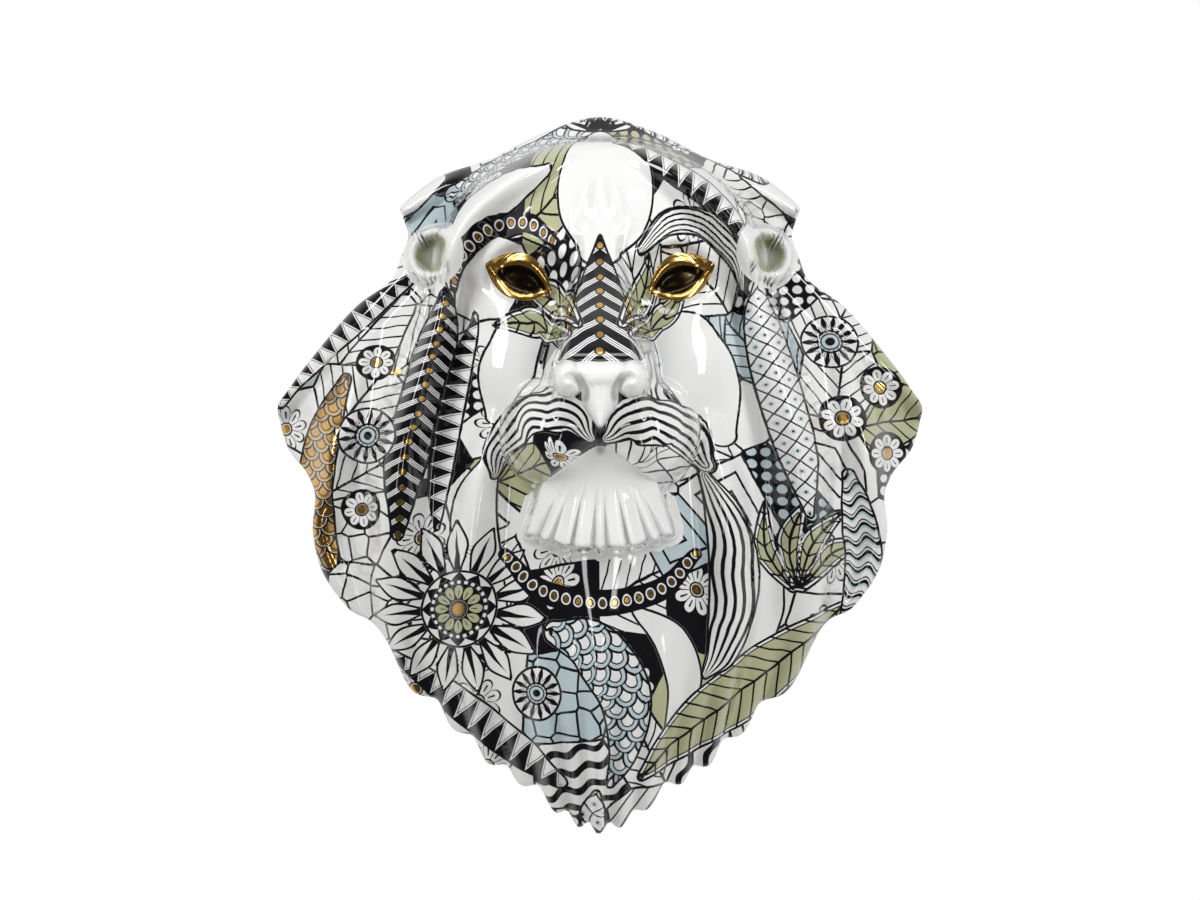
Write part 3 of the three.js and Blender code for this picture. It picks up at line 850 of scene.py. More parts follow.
    def build(self, name: str) -> tuple[bpy.types.Object, Array, Array]:
        """Builds the shell with its web and keyhole.

        Args:
            name: Name of the new object.

        Returns:
            The object as a plain mesh, and the figure point and way beyond the edge of each vertex.
        """
        points, way = self.grid()
        mesh = bpy.data.meshes.new(name)
        mesh.from_pydata(self.real(points).tolist(), [], self.faces(len(points)))
        shell = bpy.data.objects.new(name, mesh)
        outline = bpy.data.meshes.new("web_outline")
        corners = self.web_outline()
        outline.from_pydata(corners, [], [tuple(reversed(range(len(corners))))])
        web = bpy.data.objects.new("web_outline", outline)
        for obj in (shell, web):
            bpy.context.scene.collection.objects.link(obj)
        joined = KeyholeWeb(self).join(shell, web)
        bpy.data.objects.remove(web)
        tree = KDTree(len(points))
        for i, place in enumerate(self.real(points)):
            tree.insert(place, i)
        tree.balance()
        index, gap = np.array([tree.find(v.co)[1:] for v in joined.data.vertices]).T
        index = index.astype(int)
        way = np.where(gap < self.snap, way[index], -1.0)
        self.crisp_back(joined.data, (way < 0) | (points[index, 1] < SAME_PLACE))
        return joined, points[index], way

    def crisp_back(self, mesh: bpy.types.Mesh, behind: Array) -> None:
        """Shades the mesh smooth but for the corners of its back.

        Args:
            mesh: The finished mesh.
            behind: Whether each vertex is in the back plane or inside the cast.
        """
        mesh.polygons.foreach_set("use_smooth", [True] * len(mesh.polygons))
        mesh.set_sharp_from_angle(angle=math.radians(self.crisp_angle))
        ends = np.empty(2 * len(mesh.edges), dtype=np.int32)
        mesh.edges.foreach_get("vertices", ends)
        crisp = np.empty(len(mesh.edges), dtype=bool)
        kept = mesh.attributes["sharp_edge"].data
        kept.foreach_get("value", crisp)
        kept.foreach_set("value", crisp & behind[ends].reshape(-1, 2).all(axis=1))


@dataclass
class KeyholeWeb:
    """Node tree that thickens the web, joins it to the shell and cuts the keyhole."""

    shell: Shell
    round_sides: int = 48
    cut_reach: float = 1.6

    def sizes(self) -> dict[str, float]:
        """Named sizes of the tree, in metres."""
        shell = self.shell
        return {
            "Web thickness": shell.web_thickness * METRES,
            "Keyhole height": shell.keyhole_height * METRES,
            "Keyhole radius": shell.keyhole_diameter / 2 * METRES,
            "Slot width": shell.slot_width * METRES,
            "Slot rise": shell.slot_rise * METRES,
        }

    def tree(self) -> bpy.types.NodeTree:
        """Builds the node tree."""
        tree = bpy.data.node_groups.new("keyhole_web", "GeometryNodeTree")
        tree.interface.new_socket("Geometry", in_out="INPUT", socket_type="NodeSocketGeometry")
        tree.interface.new_socket("Web", in_out="INPUT", socket_type="NodeSocketObject")
        tree.interface.new_socket("Glaze", in_out="INPUT", socket_type="NodeSocketMaterial")
        for name in self.sizes():
            tree.interface.new_socket(name, in_out="INPUT", socket_type="NodeSocketFloat")
        tree.interface.new_socket("Geometry", in_out="OUTPUT", socket_type="NodeSocketGeometry")
        board = Board(tree)
        given = board.node("NodeGroupInput").outputs
        thickness, height, radius = (given[k] for k in list(self.sizes())[:3])
        width, rise = given["Slot width"], given["Slot rise"]
        web = board.node("GeometryNodeObjectInfo", inputs={"Object": given["Web"]})
        inward = board.vector(0.0, -board.wire(thickness), 0.0)
        plate = board.node(
            "GeometryNodeExtrudeMesh",
            {"mode": "FACES"},
            {"Mesh": web.outputs["Geometry"], "Offset": inward, "Individual": False},
        )
        base = board.node("GeometryNodeFlipFaces", inputs={"Mesh": web.outputs["Geometry"]})
        both = board.node("GeometryNodeJoinGeometry")
        for part in (base, plate):
            tree.links.new(part.outputs["Mesh"], both.inputs[0])
        closed = board.node(
            "GeometryNodeMergeByDistance",
            inputs={"Geometry": both.outputs[0], "Distance": SAME_PLACE},
        )
        joined = board.node("GeometryNodeMeshBoolean", {"operation": "UNION", "solver": "MANIFOLD"})
        for part in (given["Geometry"], closed.outputs[0]):
            tree.links.new(part, joined.inputs["Mesh 2"])
        depth = board.wire(thickness) * self.cut_reach
        seat = board.wire(height) + board.wire(rise)
        middle = board.wire(thickness) * -0.5
        quarter = (math.pi / 2, 0.0, 0.0)
        entry, end = (
            board.node(
                "GeometryNodeMeshCylinder",
                inputs={"Vertices": self.round_sides, "Radius": size, "Depth": depth},
            )
            for size in (radius, board.wire(width) * 0.5)
        )
        slot = board.node("GeometryNodeMeshCube", inputs={"Size": board.vector(width, depth, rise)})
        cut = board.node(
            "GeometryNodeMeshBoolean",
            {"operation": "DIFFERENCE", "solver": "MANIFOLD"},
            {"Mesh 1": joined.outputs["Mesh"]},
        )
        half_way = (board.wire(height) + seat) * 0.5
        level = (0.0, 0.0, 0.0)
        tools = ((entry, height, quarter), (end, seat, quarter), (slot, half_way, level))
        for tool, at, turn in tools:
            moved = board.node(
                "GeometryNodeTransform",
                inputs={
                    "Geometry": tool.outputs["Mesh"],
                    "Translation": board.vector(0.0, middle, at),
                    "Rotation": turn,
                },
            )
            tree.links.new(moved.outputs[0], cut.inputs["Mesh 2"])
        real = board.node("GeometryNodeRealizeInstances", inputs={"Geometry": cut.outputs["Mesh"]})
        painted = board.node(
            "GeometryNodeSetMaterial",
            inputs={"Geometry": real.outputs[0], "Material": given["Glaze"]},
        )
        out = board.node("NodeGroupOutput")
        tree.links.new(painted.outputs[0], out.inputs[0])
        return tree

    def join(self, shell: bpy.types.Object, web: bpy.types.Object) -> bpy.types.Object:
        """Runs the tree.

        Args:
            shell: The closed shell.
            web: The web's flat outline.

        Returns:
            The shell object with the web and keyhole in its own plain mesh.
        """
        tree = self.tree()
        modifier = shell.modifiers.new("keyhole_web", "NODES")
        modifier.node_group = tree
        values = {**self.sizes(), "Web": web}
        for item in tree.interface.items_tree:
            if item.in_out == "INPUT" and item.name in values:
                modifier[item.identifier] = values[item.name]
        evaluated = shell.evaluated_get(bpy.context.evaluated_depsgraph_get())
        mesh = bpy.data.meshes.new_from_object(evaluated)
        shell.modifiers.remove(modifier)
        old, shell.data = shell.data, mesh
        name = old.name
        bpy.data.meshes.remove(old)
        mesh.name = name
        return shell


# Node building

class Wire:
    """A node socket that carries a number, written as a value in expressions."""

    def __init__(self, board: Board, socket: bpy.types.NodeSocket) -> None:
        """Keeps the socket and the board that it is on."""
        self.board = board
        self.socket = socket

    def math(self, operation: str, *others: Any, clamp: bool = False) -> Wire:
        """Adds one Math node.

        Args:
            operation: The node's operation.
            others: Its second and third values, if it has them.
            clamp: Whether the result is kept between 0 and 1.

        Returns:
            The node's result.
        """
        return self.board.math(operation, self, *others, clamp=clamp)

    def __add__(self, other: Any) -> Wire:
        """Sum."""
        return self.math("ADD", other)

    __radd__ = __add__

    def __mul__(self, other: Any) -> Wire:
        """Product."""
        return self.math("MULTIPLY", other)

    __rmul__ = __mul__

    def __sub__(self, other: Any) -> Wire:
        """Difference."""
        return self.math("SUBTRACT", other)

    def __rsub__(self, other: Any) -> Wire:
        """Difference from a plain value."""
        return self.board.math("SUBTRACT", other, self)

    def __truediv__(self, other: Any) -> Wire:
        """Quotient."""
        return self.math("DIVIDE", other)

    def __neg__(self) -> Wire:
        """Negative."""
        return self.math("MULTIPLY", -1.0)

    def __abs__(self) -> Wire:
        """Size without its sign."""
        return self.math("ABSOLUTE")

    def __lt__(self, other: Any) -> Wire:
        """1 where this is less."""
        return self.math("LESS_THAN", other)

    def __gt__(self, other: Any) -> Wire:
        """1 where this is more."""
        return self.math("GREATER_THAN", other)

    def fract(self) -> Wire:
        """Part after the whole number."""
        return self.math("FRACT")

    def floor(self) -> Wire:
        """Whole number under it."""
        return self.math("FLOOR")

    def most(self, other: Any) -> Wire:
        """The larger value."""
        return self.math("MAXIMUM", other)

    def under(self, edge: float, soft: float = 0.3) -> Wire:
        """Share from 1 under an edge to 0 over it, with a soft end."""
        return self.math("MULTIPLY_ADD", -1 / soft, edge / soft + 0.5, clamp=True)

    def line(self, half: float, soft: float = 0.3) -> Wire:
        """1 within a line's half width round nought."""
        return abs(self).under(half, soft)

    def saw(self) -> Wire:
        """Distance from the nearest whole number, doubled: from 0 to 1."""
        return abs((self + 0.5).fract() - 0.5) * 2.0


class Board:
    """Adds nodes to one tree."""

    def __init__(self, tree: bpy.types.NodeTree) -> None:
        """Keeps the tree."""
        self.tree = tree

    def wire(self, socket: bpy.types.NodeSocket) -> Wire:
        """Wraps a socket."""
        return Wire(self, socket)

    def set_input(self, socket: bpy.types.NodeSocket, value: Any) -> None:
        """Links a socket or sets its value."""
        if isinstance(value, Wire):
            value = value.socket
        if isinstance(value, bpy.types.NodeSocket):
            self.tree.links.new(value, socket)
        else:
            socket.default_value = value

    def node(
        self,
        kind: str,
        settings: dict[str, Any] | None = None,
        inputs: dict[Any, Any] | None = None,
    ) -> bpy.types.Node:
        """Adds any node.

        Args:
            kind: The node's type.
            settings: Its settings, which are set first.
            inputs: Values or links of its sockets, by name, identifier or place.

        Returns:
            The new node.
        """
        node = self.tree.nodes.new(kind)
        for key, value in (settings or {}).items():
            setattr(node, key, value)
        for key, value in (inputs or {}).items():
            by_identifier = {s.identifier: s for s in node.inputs}
            socket = by_identifier.get(key) if isinstance(key, str) else node.inputs[key]
            self.set_input(socket or node.inputs[key], value)
        return node

    def math(self, operation: str, *values: Any, clamp: bool = False) -> Wire:
        """Adds one Math node on wires and plain numbers."""
        settings = {"operation": operation, "use_clamp": clamp}
        node = self.node("ShaderNodeMath", settings, dict(enumerate(values)))
        return self.wire(node.outputs[0])

    def value(self, number: float) -> Wire:
        """A plain number as a wire."""
        return self.math("ADD", number, 0.0)

    def vector(self, x: Any, y: Any, z: Any) -> Wire:
        """A vector of three values."""
        return self.wire(self.node("ShaderNodeCombineXYZ", inputs={0: x, 1: y, 2: z}).outputs[0])

    def length(self, x: Any, y: Any) -> Wire:
        """Length of a flat vector."""
        node = self.node("ShaderNodeVectorMath", {"operation": "LENGTH"}, {0: self.vector(x, y, 0.0)})
        return self.wire(node.outputs["Value"])

    def split(self, vector: Wire) -> tuple[Wire, Wire, Wire]:
        """The three parts of a vector."""
        node = self.node("ShaderNodeSeparateXYZ", inputs={0: vector})
        return tuple(self.wire(out) for out in node.outputs)

    def result(self, node: bpy.types.Node, identifier: str) -> Wire:
        """The output of a node with that identifier."""
        return self.wire(next(out for out in node.outputs if out.identifier == identifier))

    def blend(self, below: Any, above: Any, share: Any) -> Wire:
        """Colour that goes from one to another."""
        node = self.node(
            "ShaderNodeMix",
            {"data_type": "RGBA"},
            {"Factor_Float": share, "A_Color": below, "B_Color": above},
        )
        return self.result(node, "Result_Color")

    def number(self, below: Any, above: Any, share: Any) -> Wire:
        """Number that goes from one to another."""
        node = self.node(
            "ShaderNodeMix",
            {"data_type": "FLOAT"},
            {"Factor_Float": share, "A_Float": below, "B_Float": above},
        )
        return self.result(node, "Result_Float")

    def attribute(self, name: str) -> Wire:
        """Vector kept on the mesh under a name."""
        node = self.node("ShaderNodeAttribute", {"attribute_name": name})
        return self.wire(node.outputs["Vector"])

    def factor(self, name: str) -> Wire:
        """Number kept on the mesh under a name."""
        node = self.node("ShaderNodeAttribute", {"attribute_name": name})
        return self.wire(node.outputs["Fac"])


# The painting

@dataclass(frozen=True)
class Palette:
    """Colours of the glaze, the enamels and the lustre."""

    glaze: Colour = (0.80, 0.80, 0.79, 1.0)
    ink: Colour = (0.006, 0.006, 0.008, 1.0)
    green: Colour = (0.45, 0.46, 0.28, 1.0)
    blue: Colour = (0.50, 0.60, 0.63, 1.0)
    gold: Colour = (0.93, 0.55, 0.14, 1.0)
    celadon: Colour = (0.62, 0.65, 0.50, 1.0)
    # Near-black brown laid on the gilt eyeballs: a painted dark reflection of the room in the gold
    # lustre, not a colour of its own
    painted_dark_reflection: Colour = (0.035, 0.024, 0.010, 1.0)
    biscuit: Colour = (0.66, 0.64, 0.60, 1.0)


class Motif(Enum):
    """Patterns that the painter lays along ribbons or inside discs, lowest first."""

    BARE = "bare_places"
    BLUE_SCALES = "blue_scales"
    GILT_SCALES = "gilt_scales"
    CHEVRONS = "chevrons"
    LEAF = "leaf"
    TEETH = "teeth"
    PETALS = "petals"
    BEADS = "beads"
    STRANDS = "strands"
    WAVES = "waves"
    LATTICE = "lattice"
    DAISY = "daisy"
    MEDALLION = "medallion"
    SUNBURST = "sunburst"


@dataclass(frozen=True)
class Ribbon:
    """A painted band: rows of x, z and half width."""

    motif: Motif
    points: tuple[tuple[float, float, float], ...]
    steps: int = 8

    def lay(self, head: LionHead, u: Array, v: Array) -> tuple[Array, Array, Array]:
        """Distance outside the band, and millimetres along and across it."""
        rows = np.array(self.points, float)
        rows[:, 0], rows[:, 1] = head.chart(rows[:, 0], rows[:, 1])
        near = nearest_on(rounded_path(rows, self.steps), u, v)
        outside = near.distance - near.values[..., 0]
        return outside, near.along, near.distance * near.outside


@dataclass(frozen=True)
class Disc:
    """A painted round: its middle and its radius."""

    motif: Motif
    x: float
    z: float
    radius: float
    turn: float = 0.0

    def lay(self, head: LionHead, u: Array, v: Array) -> tuple[Array, Array, Array]:
        """Distance outside the round, and place in it as shares of its radius."""
        at_u, at_v = head.chart(np.array([self.x]), np.array([self.z]))
        turn = math.radians(self.turn)
        du, dv = u - at_u[0], v - at_v[0]
        across = (du * math.cos(turn) + dv * math.sin(turn)) / self.radius
        up = (dv * math.cos(turn) - du * math.sin(turn)) / self.radius
        return np.hypot(du, dv) - self.radius, across, up


FAN_WIDTHS: Keys = ((0.0, 0.35), (0.35, 0.95), (0.6, 1.0), (1.0, 0.1))


def fan(
    motif: Motif,
    middle: Pair,
    reach: Pair,
    half: float,
    turns: Iterable[float],
    bend: float = 0.0,
) -> tuple[Ribbon, ...]:
    """Pointed ribbons that spread from one place.

    Args:
        motif: Their pattern.
        middle: The place, as x and z.
        reach: Where they start and end, from the middle.
        half: Half of their greatest width.
        turns: Their directions, in degrees clockwise from straight up.
        bend: Degrees that their tips turn further.

    Returns:
        The ribbons.
    """
    ribbons = []
    for turn in turns:
        rows = []
        for share, width in FAN_WIDTHS:
            angle = math.radians(turn + bend * share * share)
            far = mix(*reach, share)
            x = middle[0] + far * math.sin(angle)
            z = middle[1] + far * math.cos(angle)
            rows.append((x, z, half * width))
        ribbons.append(Ribbon(motif, tuple(rows)))
    return tuple(ribbons)


@dataclass
class Painting:
    """Where each motif lies on the mask, kept on the mesh as one named vector per motif."""

    head: LionHead
    pieces: tuple[Ribbon | Disc, ...] = (
        # left white
        Ribbon(Motif.BARE, ((0, 56, 10), (4, 38, 30), (2, 12, 30), (0, -12, 14))),
        Ribbon(Motif.BARE, ((-30, -48, 4), (-44, -60, 14), (-54, -82, 15), (-58, -106, 6))),
        Ribbon(Motif.BARE, ((32, -52, 7), (48, -66, 20), (60, -90, 21), (68, -116, 9))),
        Ribbon(Motif.BARE, ((-60, -128, 5), (-70, -154, 15), (-66, -194, 14), (-54, -228, 4))),
        Ribbon(Motif.BARE, ((84, 36, 5), (104, 27, 12), (126, 10, 10))),
        Ribbon(Motif.BARE, ((-92, 34, 4), (-108, 25, 11), (-128, 10, 9))),
        Ribbon(Motif.BARE, ((-30, 32, 4), (-50, 22, 12), (-70, 8, 12), (-82, -14, 5))),
        Ribbon(Motif.BARE, ((88, -176, 3), (96, -200, 10), (92, -226, 11), (80, -246, 3))),
        Ribbon(Motif.BARE, ((20, -214, 3), (40, -232, 12), (48, -258, 12), (40, -284, 4))),
        # crown and forehead
        Ribbon(Motif.BLUE_SCALES, ((-10, 62, 8), (-34, 50, 15), (-62, 36, 16), (-84, 24, 9))),
        Ribbon(Motif.TEETH, ((10, 50, 3), (32, 38, 8), (56, 22, 9), (74, 4, 6), (80, -8, 2))),
        Ribbon(Motif.WAVES, ((16, 68, 3), (44, 56, 8), (70, 46, 8), (96, 32, 3))),
        # down the nose
        *fan(Motif.LEAF, (0, -72), (20, 62), 9, (-62, -38, 38, 62), -12),
        Ribbon(Motif.CHEVRONS, ((0, -6, 1), (0, -30, 12), (0, -50, 21), (0, -66, 29), (0, -80, 30))),
        # muzzle
        Ribbon(Motif.STRANDS, ((4, -118, 4), (20, -108, 14), (42, -112, 20), (58, -132, 7))),
        Ribbon(Motif.STRANDS, (
            (-5, -118, 3), (-18, -104, 12), (-38, -104, 18), (-54, -122, 11), (-58, -138, 3),
        )),
        # round the eyes
        Ribbon(Motif.BEADS, ((-24, -10, 2), (-40, 2, 5), (-60, 0, 6), (-76, -14, 5), (-82, -34, 2))),
        Ribbon(Motif.STRANDS, ((22, -14, 2), (38, 2, 7), (58, 2, 8), (74, -14, 6), (80, -34, 2))),
        # the folds that frame the face
        Ribbon(Motif.CHEVRONS, (
            (-86, -38, 5), (-91, -64, 13), (-100, -98, 14), (-110, -134, 13), (-114, -172, 4),
        )),
        Ribbon(Motif.LATTICE, (
            (88, -34, 6), (92, -60, 13), (102, -96, 14), (112, -130, 12), (118, -160, 3),
        )),
        Ribbon(Motif.TEETH, (
            (-70, -48, 2), (-76, -72, 7), (-84, -104, 8), (-90, -142, 7), (-92, -168, 2),
        )),
        # outer mane
        Ribbon(Motif.GILT_SCALES, (
            (-146, -84, 5), (-158, -114, 13), (-164, -150, 14), (-156, -188, 6),
        )),
        Ribbon(Motif.TEETH, ((-108, -26, 3), (-136, -46, 9), (-166, -72, 9), (-186, -98, 3))),
        Disc(Motif.DAISY, -128, -74, 13),
        Disc(Motif.SUNBURST, -132, -116, 20, 8),
        Disc(Motif.DAISY, -136, -158, 14, 12),
        Disc(Motif.SUNBURST, 132, -62, 20),
        Disc(Motif.DAISY, 162, -88, 15, 9),
        Disc(Motif.DAISY, 138, -106, 16, 30),
        Disc(Motif.DAISY, 166, -126, 15),
        Ribbon(Motif.WAVES, ((142, -138, 4), (148, -164, 12), (152, -192, 13), (142, -222, 4))),
        # under the chin and down to the hem
        Ribbon(Motif.BEADS, (
            (-54, -182, 3), (-34, -202, 6), (0, -210, 7), (34, -202, 6), (54, -182, 3),
        )),
        *fan(Motif.PETALS, (-80, -214), (23, 50), 7.0, range(0, 360, 24)),
        Disc(Motif.MEDALLION, -80, -214, 26),
        Ribbon(Motif.BLUE_SCALES, (
            (-26, -226, 7), (-4, -236, 17), (14, -262, 18), (14, -294, 11), (6, -316, 3),
        )),
        Ribbon(Motif.LEAF, (
            (144, -212, 2), (116, -236, 16), (82, -262, 21), (48, -288, 15), (24, -312, 3),
        )),
        Ribbon(Motif.STRANDS, (
            (58, -138, 4), (70, -162, 14), (76, -198, 17), (70, -236, 12), (60, -252, 3),
        )),
        Ribbon(Motif.TEETH, ((-118, -242, 3), (-84, -268, 11), (-50, -294, 12), (-22, -316, 4))),
        Ribbon(Motif.LATTICE, ((-2, -322, 3), (-4, -334, 9), (0, -342, 4))),
        *fan(Motif.LEAF, (112, -206), (4, 56), 7.5, (-40, -14, 12, 38), 20),
        *fan(Motif.PETALS, (0, 60), (4, 26), 4.5, (-68, -34, 0, 34, 68)),
        Disc(Motif.SUNBURST, -36, -262, 17),
    )

    glaze_from: float = 4.0
    inner_glaze_from: float = 12.0
    mass_blend: float = 5.0
    nose_slope: float = 0.35
    nose_margin: float = 0.5
    nose_half: float = 27.0
    tuft_edge: float = 0.35
    tuft_reach: float = 12.0
    under_lip: float = 0.4
    painted_lip: float = 9.0
    ear_reach: float = 19.0
    lid_shift: Pair = (1.6, 2.0)
    lid_width: float = 2.6
    shifted_lid_width: float = 4.2

    def lay_out(self, mesh: bpy.types.Mesh, points: Array, way: Array) -> None:
        """Keeps the painting's places on the mesh.

        Args:
            mesh: The finished mesh.
            points: Figure point of each vertex.
            way: Each vertex's way beyond the front edge, or -1 behind the rim.
        """
        painted = way >= 0
        x, z = points[painted, 0], points[painted, 2]
        u, v = self.head.chart(x, z)
        beyond = 1 + way[painted] / np.maximum(np.hypot(u, v), SAME_PLACE)
        u, v = u * beyond, v * beyond
        for motif in Motif:
            best = np.full((len(u), 3), FAR)
            for piece in (p for p in self.pieces if p.motif is motif):
                laid = np.stack(piece.lay(self.head, u, v), axis=-1)
                best = np.where(laid[:, :1] < best[:, :1], laid, best)
            self.keep(mesh, motif.value, painted, best)
        self.keep(mesh, "ground", painted, np.stack([u, v, 0 * u], axis=-1))
        self.keep(mesh, "features", painted, self.features(x, z), (-FAR, FAR, FAR))
        lids = np.full(len(points), FAR)
        lids[painted] = self.outside_lids(x, z)
        least = np.where(painted, self.glaze_from, self.inner_glaze_from)
        glazed = np.where(points[:, 1] > least, 1.0, 0.0)
        for name, values in (("lids", lids), ("glazed", glazed)):
            mesh.attributes.new(name, "FLOAT", "POINT").data.foreach_set("value", values)

    def keep(
        self,
        mesh: bpy.types.Mesh,
        name: str,
        painted: Array,
        values: Array,
        rest: tuple[float, float, float] = (FAR, FAR, FAR),
    ) -> None:
        """Keeps one vector per vertex, and the rest where nothing is painted."""
        every = np.full((len(painted), 3), rest)
        every[painted] = values
        data = mesh.attributes.new(name, "FLOAT_VECTOR", "POINT").data
        data.foreach_set("vector", every.ravel())

    def features(self, x: Array, z: Array) -> Array:
        """Places of what carries no motif.

        Args:
            x: Places across.
            z: Places up.

        Returns:
            Distances outside the bare nose, tuft and ears, outside the eye, and from the ear.
        """
        side = np.abs(x)
        head = self.head
        lobes = head.muzzle.lobe.height(side, z)
        rest = soft_max(head.head(side, z), lobes, self.mass_blend)
        whole_nose = head.nose.height(side, z) - head.nose.nostril.height(side, z)
        nose = (rest - whole_nose) * self.nose_slope + self.nose_margin
        nose = np.maximum(nose, side - self.nose_half)
        tuft = (self.tuft_edge - head.muzzle.tuft_share(side, z)) * self.tuft_reach
        lip = head.muzzle.over_lip(side, z) > self.under_lip
        tuft = np.where(lip, self.painted_lip, tuft)
        ear = head.ear.distance(side, z)
        bare = np.minimum(np.minimum(nose, tuft), ear - self.ear_reach)
        return np.stack([bare, head.eye.edge_distance(side, z), ear], axis=-1)

    def outside_lids(self, x: Array, z: Array) -> Array:
        """Distance outside the gilt lids, which reach further on the upper outer side."""
        side, eye = np.abs(x), self.head.eye
        over, up = self.lid_shift
        outside = eye.edge_distance(side, z) - self.lid_width
        shifted = eye.edge_distance(side - over, z - up) - self.shifted_lid_width
        return np.minimum(outside, shifted)


@dataclass
class Paint:
    """What one motif lays down: shares of ink, gold and tint, and the tint's colour."""

    ink: Any
    gold: Any = 0.0
    tint: Any = 0.0
    colour: Colour = (1.0, 1.0, 1.0, 1.0)


@dataclass
class Enamels:
    """Turns the kept places into the glaze's colours and lustre."""

    board: Board
    palette: Palette
    outline: float = 0.85

    def scales(self, along: Wire, across: Wire, pitch: float, colour: Colour, gilt: bool) -> Paint:
        """Rows of round scales with a ring or a gilt heart in each."""
        board = self.board
        bold, fine = 0.75, 0.45
        ring_share, heart_share, gilt_share = 0.28, 0.3, 0.42
        rows = along * (2 / pitch)
        row = rows.floor()
        down = (rows - row) * 0.5
        shift = (row * 0.5).fract()
        over = (across * (1 / pitch) + shift).fract() - 0.5
        own = board.length(over, down)
        next_row = board.length(abs(over) - 0.5, down - 0.5)
        reach = board.number(next_row, own, own < 0.5) * pitch
        edge = (own * pitch - pitch / 2).line(bold)
        ring = (reach - pitch * ring_share).line(fine)
        if gilt:
            return Paint(edge.most(ring), gold=reach.under(pitch * gilt_share), colour=colour)
        return Paint(edge.most(ring), tint=1 - reach.under(pitch * heart_share), colour=colour)

    def chevrons(self, along: Wire, across: Wire) -> Paint:
        """Black and white arrow bands with gilt beads down the middle."""
        pitch, slant, band_share, hair_share = 11.0, 0.75, 0.62, 0.85
        bead_radius, ring_radius, clear_radius = 2.1, 2.4, 2.9
        turn = (along - abs(across) * slant) * (1 / pitch)
        band = (turn.saw() - band_share).under(0.0, 0.06)
        hair = (turn.saw() - hair_share).line(0.05, 0.05)
        step = ((along * (1 / pitch)).fract() - 0.5) * pitch
        reach = self.board.length(step, across)
        ring = (reach - ring_radius).line(0.5)
        ink = band.most(hair) * (1 - reach.under(clear_radius)) + ring
        return Paint(ink, gold=reach.under(bead_radius))

    def leaf(self, outside: Wire, along: Wire, across: Wire) -> Paint:
        """A leaf with a midrib, slanting veins and a black edge."""
        pitch, slant, inset, bold, fine = 11.0, 0.9, 2.6, 0.9, 0.45
        middle = across.line(bold)
        vein = (along - abs(across) * slant) * (1 / pitch)
        veins = (vein.saw() * (pitch / 2)).under(bold)
        rim = (outside + inset).line(fine)
        ink = middle.most(veins).most(rim)
        return Paint(ink, tint=(outside + inset).under(0.0), colour=self.palette.green)

    def petals(self, along: Wire, across: Wire) -> Paint:
        """White petals with a black stroke up from their foot."""
        foot_half, taper = 2.4, 0.09
        return Paint((abs(across) + along * taper - foot_half).under(0.0))

    def teeth(self, outside: Wire, along: Wire, across: Wire) -> Paint:
        """A row of black teeth with open ones between them."""
        pitch, least_half, echo_share = 12.0, 0.5, 0.2
        half = abs(across) - outside
        level = across / half.most(least_half) * 0.5 + 0.5
        saw = (along * (1 / pitch)).saw()
        tooth = (level - saw).under(0.0, 0.05)
        echo = ((level - saw) - echo_share).line(0.045, 0.04)
        return Paint(tooth.most(echo))

    def beads(self, along: Wire, across: Wire) -> Paint:
        """White beads with gilt hearts on a black band."""
        pitch, ball_radius, ring_radius, heart_radius = 9.0, 3.5, 2.1, 1.9
        step = ((along * (1 / pitch)).fract() - 0.5) * pitch
        reach = self.board.length(step, across)
        ring = (reach - ring_radius).line(0.4)
        ink = (1 - reach.under(ball_radius)).most(ring)
        return Paint(ink, gold=reach.under(heart_radius))

    def strands(self, outside: Wire, along: Wire, across: Wire) -> Paint:
        """Black and white strands that run along the band and swell."""
        least_half, strands, black_share, sway, sway_rate = 0.5, 2.5, 0.4, 0.25, 0.12
        half = abs(across) - outside
        level = across / half.most(least_half)
        swell = self.board.math("SINE", along * sway_rate) * sway
        strand = (level * strands + swell).saw()
        return Paint((strand - black_share).under(0.0, 0.1))

    def waves(self, along: Wire, across: Wire) -> Paint:
        """Wavy lines across a blue band."""
        pitch, sway, sway_rate, bold, fine, band_share = 10.0, 2.6, 0.42, 1.2, 0.55, 0.3
        swayed = along + self.board.math("SINE", across * sway_rate) * sway
        turn = swayed * (1 / pitch)
        line = (turn.saw() * (pitch / 2)).under(bold)
        thin = ((turn + band_share).saw() * (pitch / 2)).under(fine)
        return Paint(line.most(thin), tint=turn.fract() < band_share, colour=self.palette.blue)

    def lattice(self, along: Wire, across: Wire) -> Paint:
        """Crossed lines with a dot in each field."""
        pitch, line_half, dot_radius, spot_radius = 15.0, 0.8, 1.2, 2.9
        rising = (along + across) * (1 / pitch)
        falling = (along - across) * (1 / pitch)
        lines, others = ((way.saw() * pitch / 2).under(line_half) for way in (rising, falling))
        lines = lines.most(others)
        centre = self.board.length((rising + 0.5).saw(), (falling + 0.5).saw()) * (pitch / 2)
        ink = lines.most(centre.under(dot_radius))
        return Paint(ink, tint=centre.under(spot_radius), colour=self.palette.blue)

    def polar(self, across: Wire, up: Wire, count: int) -> tuple[Wire, Wire]:
        """Reach as a share of the radius, and saw round the disc."""
        reach = self.board.length(across, up)
        turn = self.board.math("ARCTAN2", up, across) * (count / (2 * math.pi))
        return reach, turn.saw()

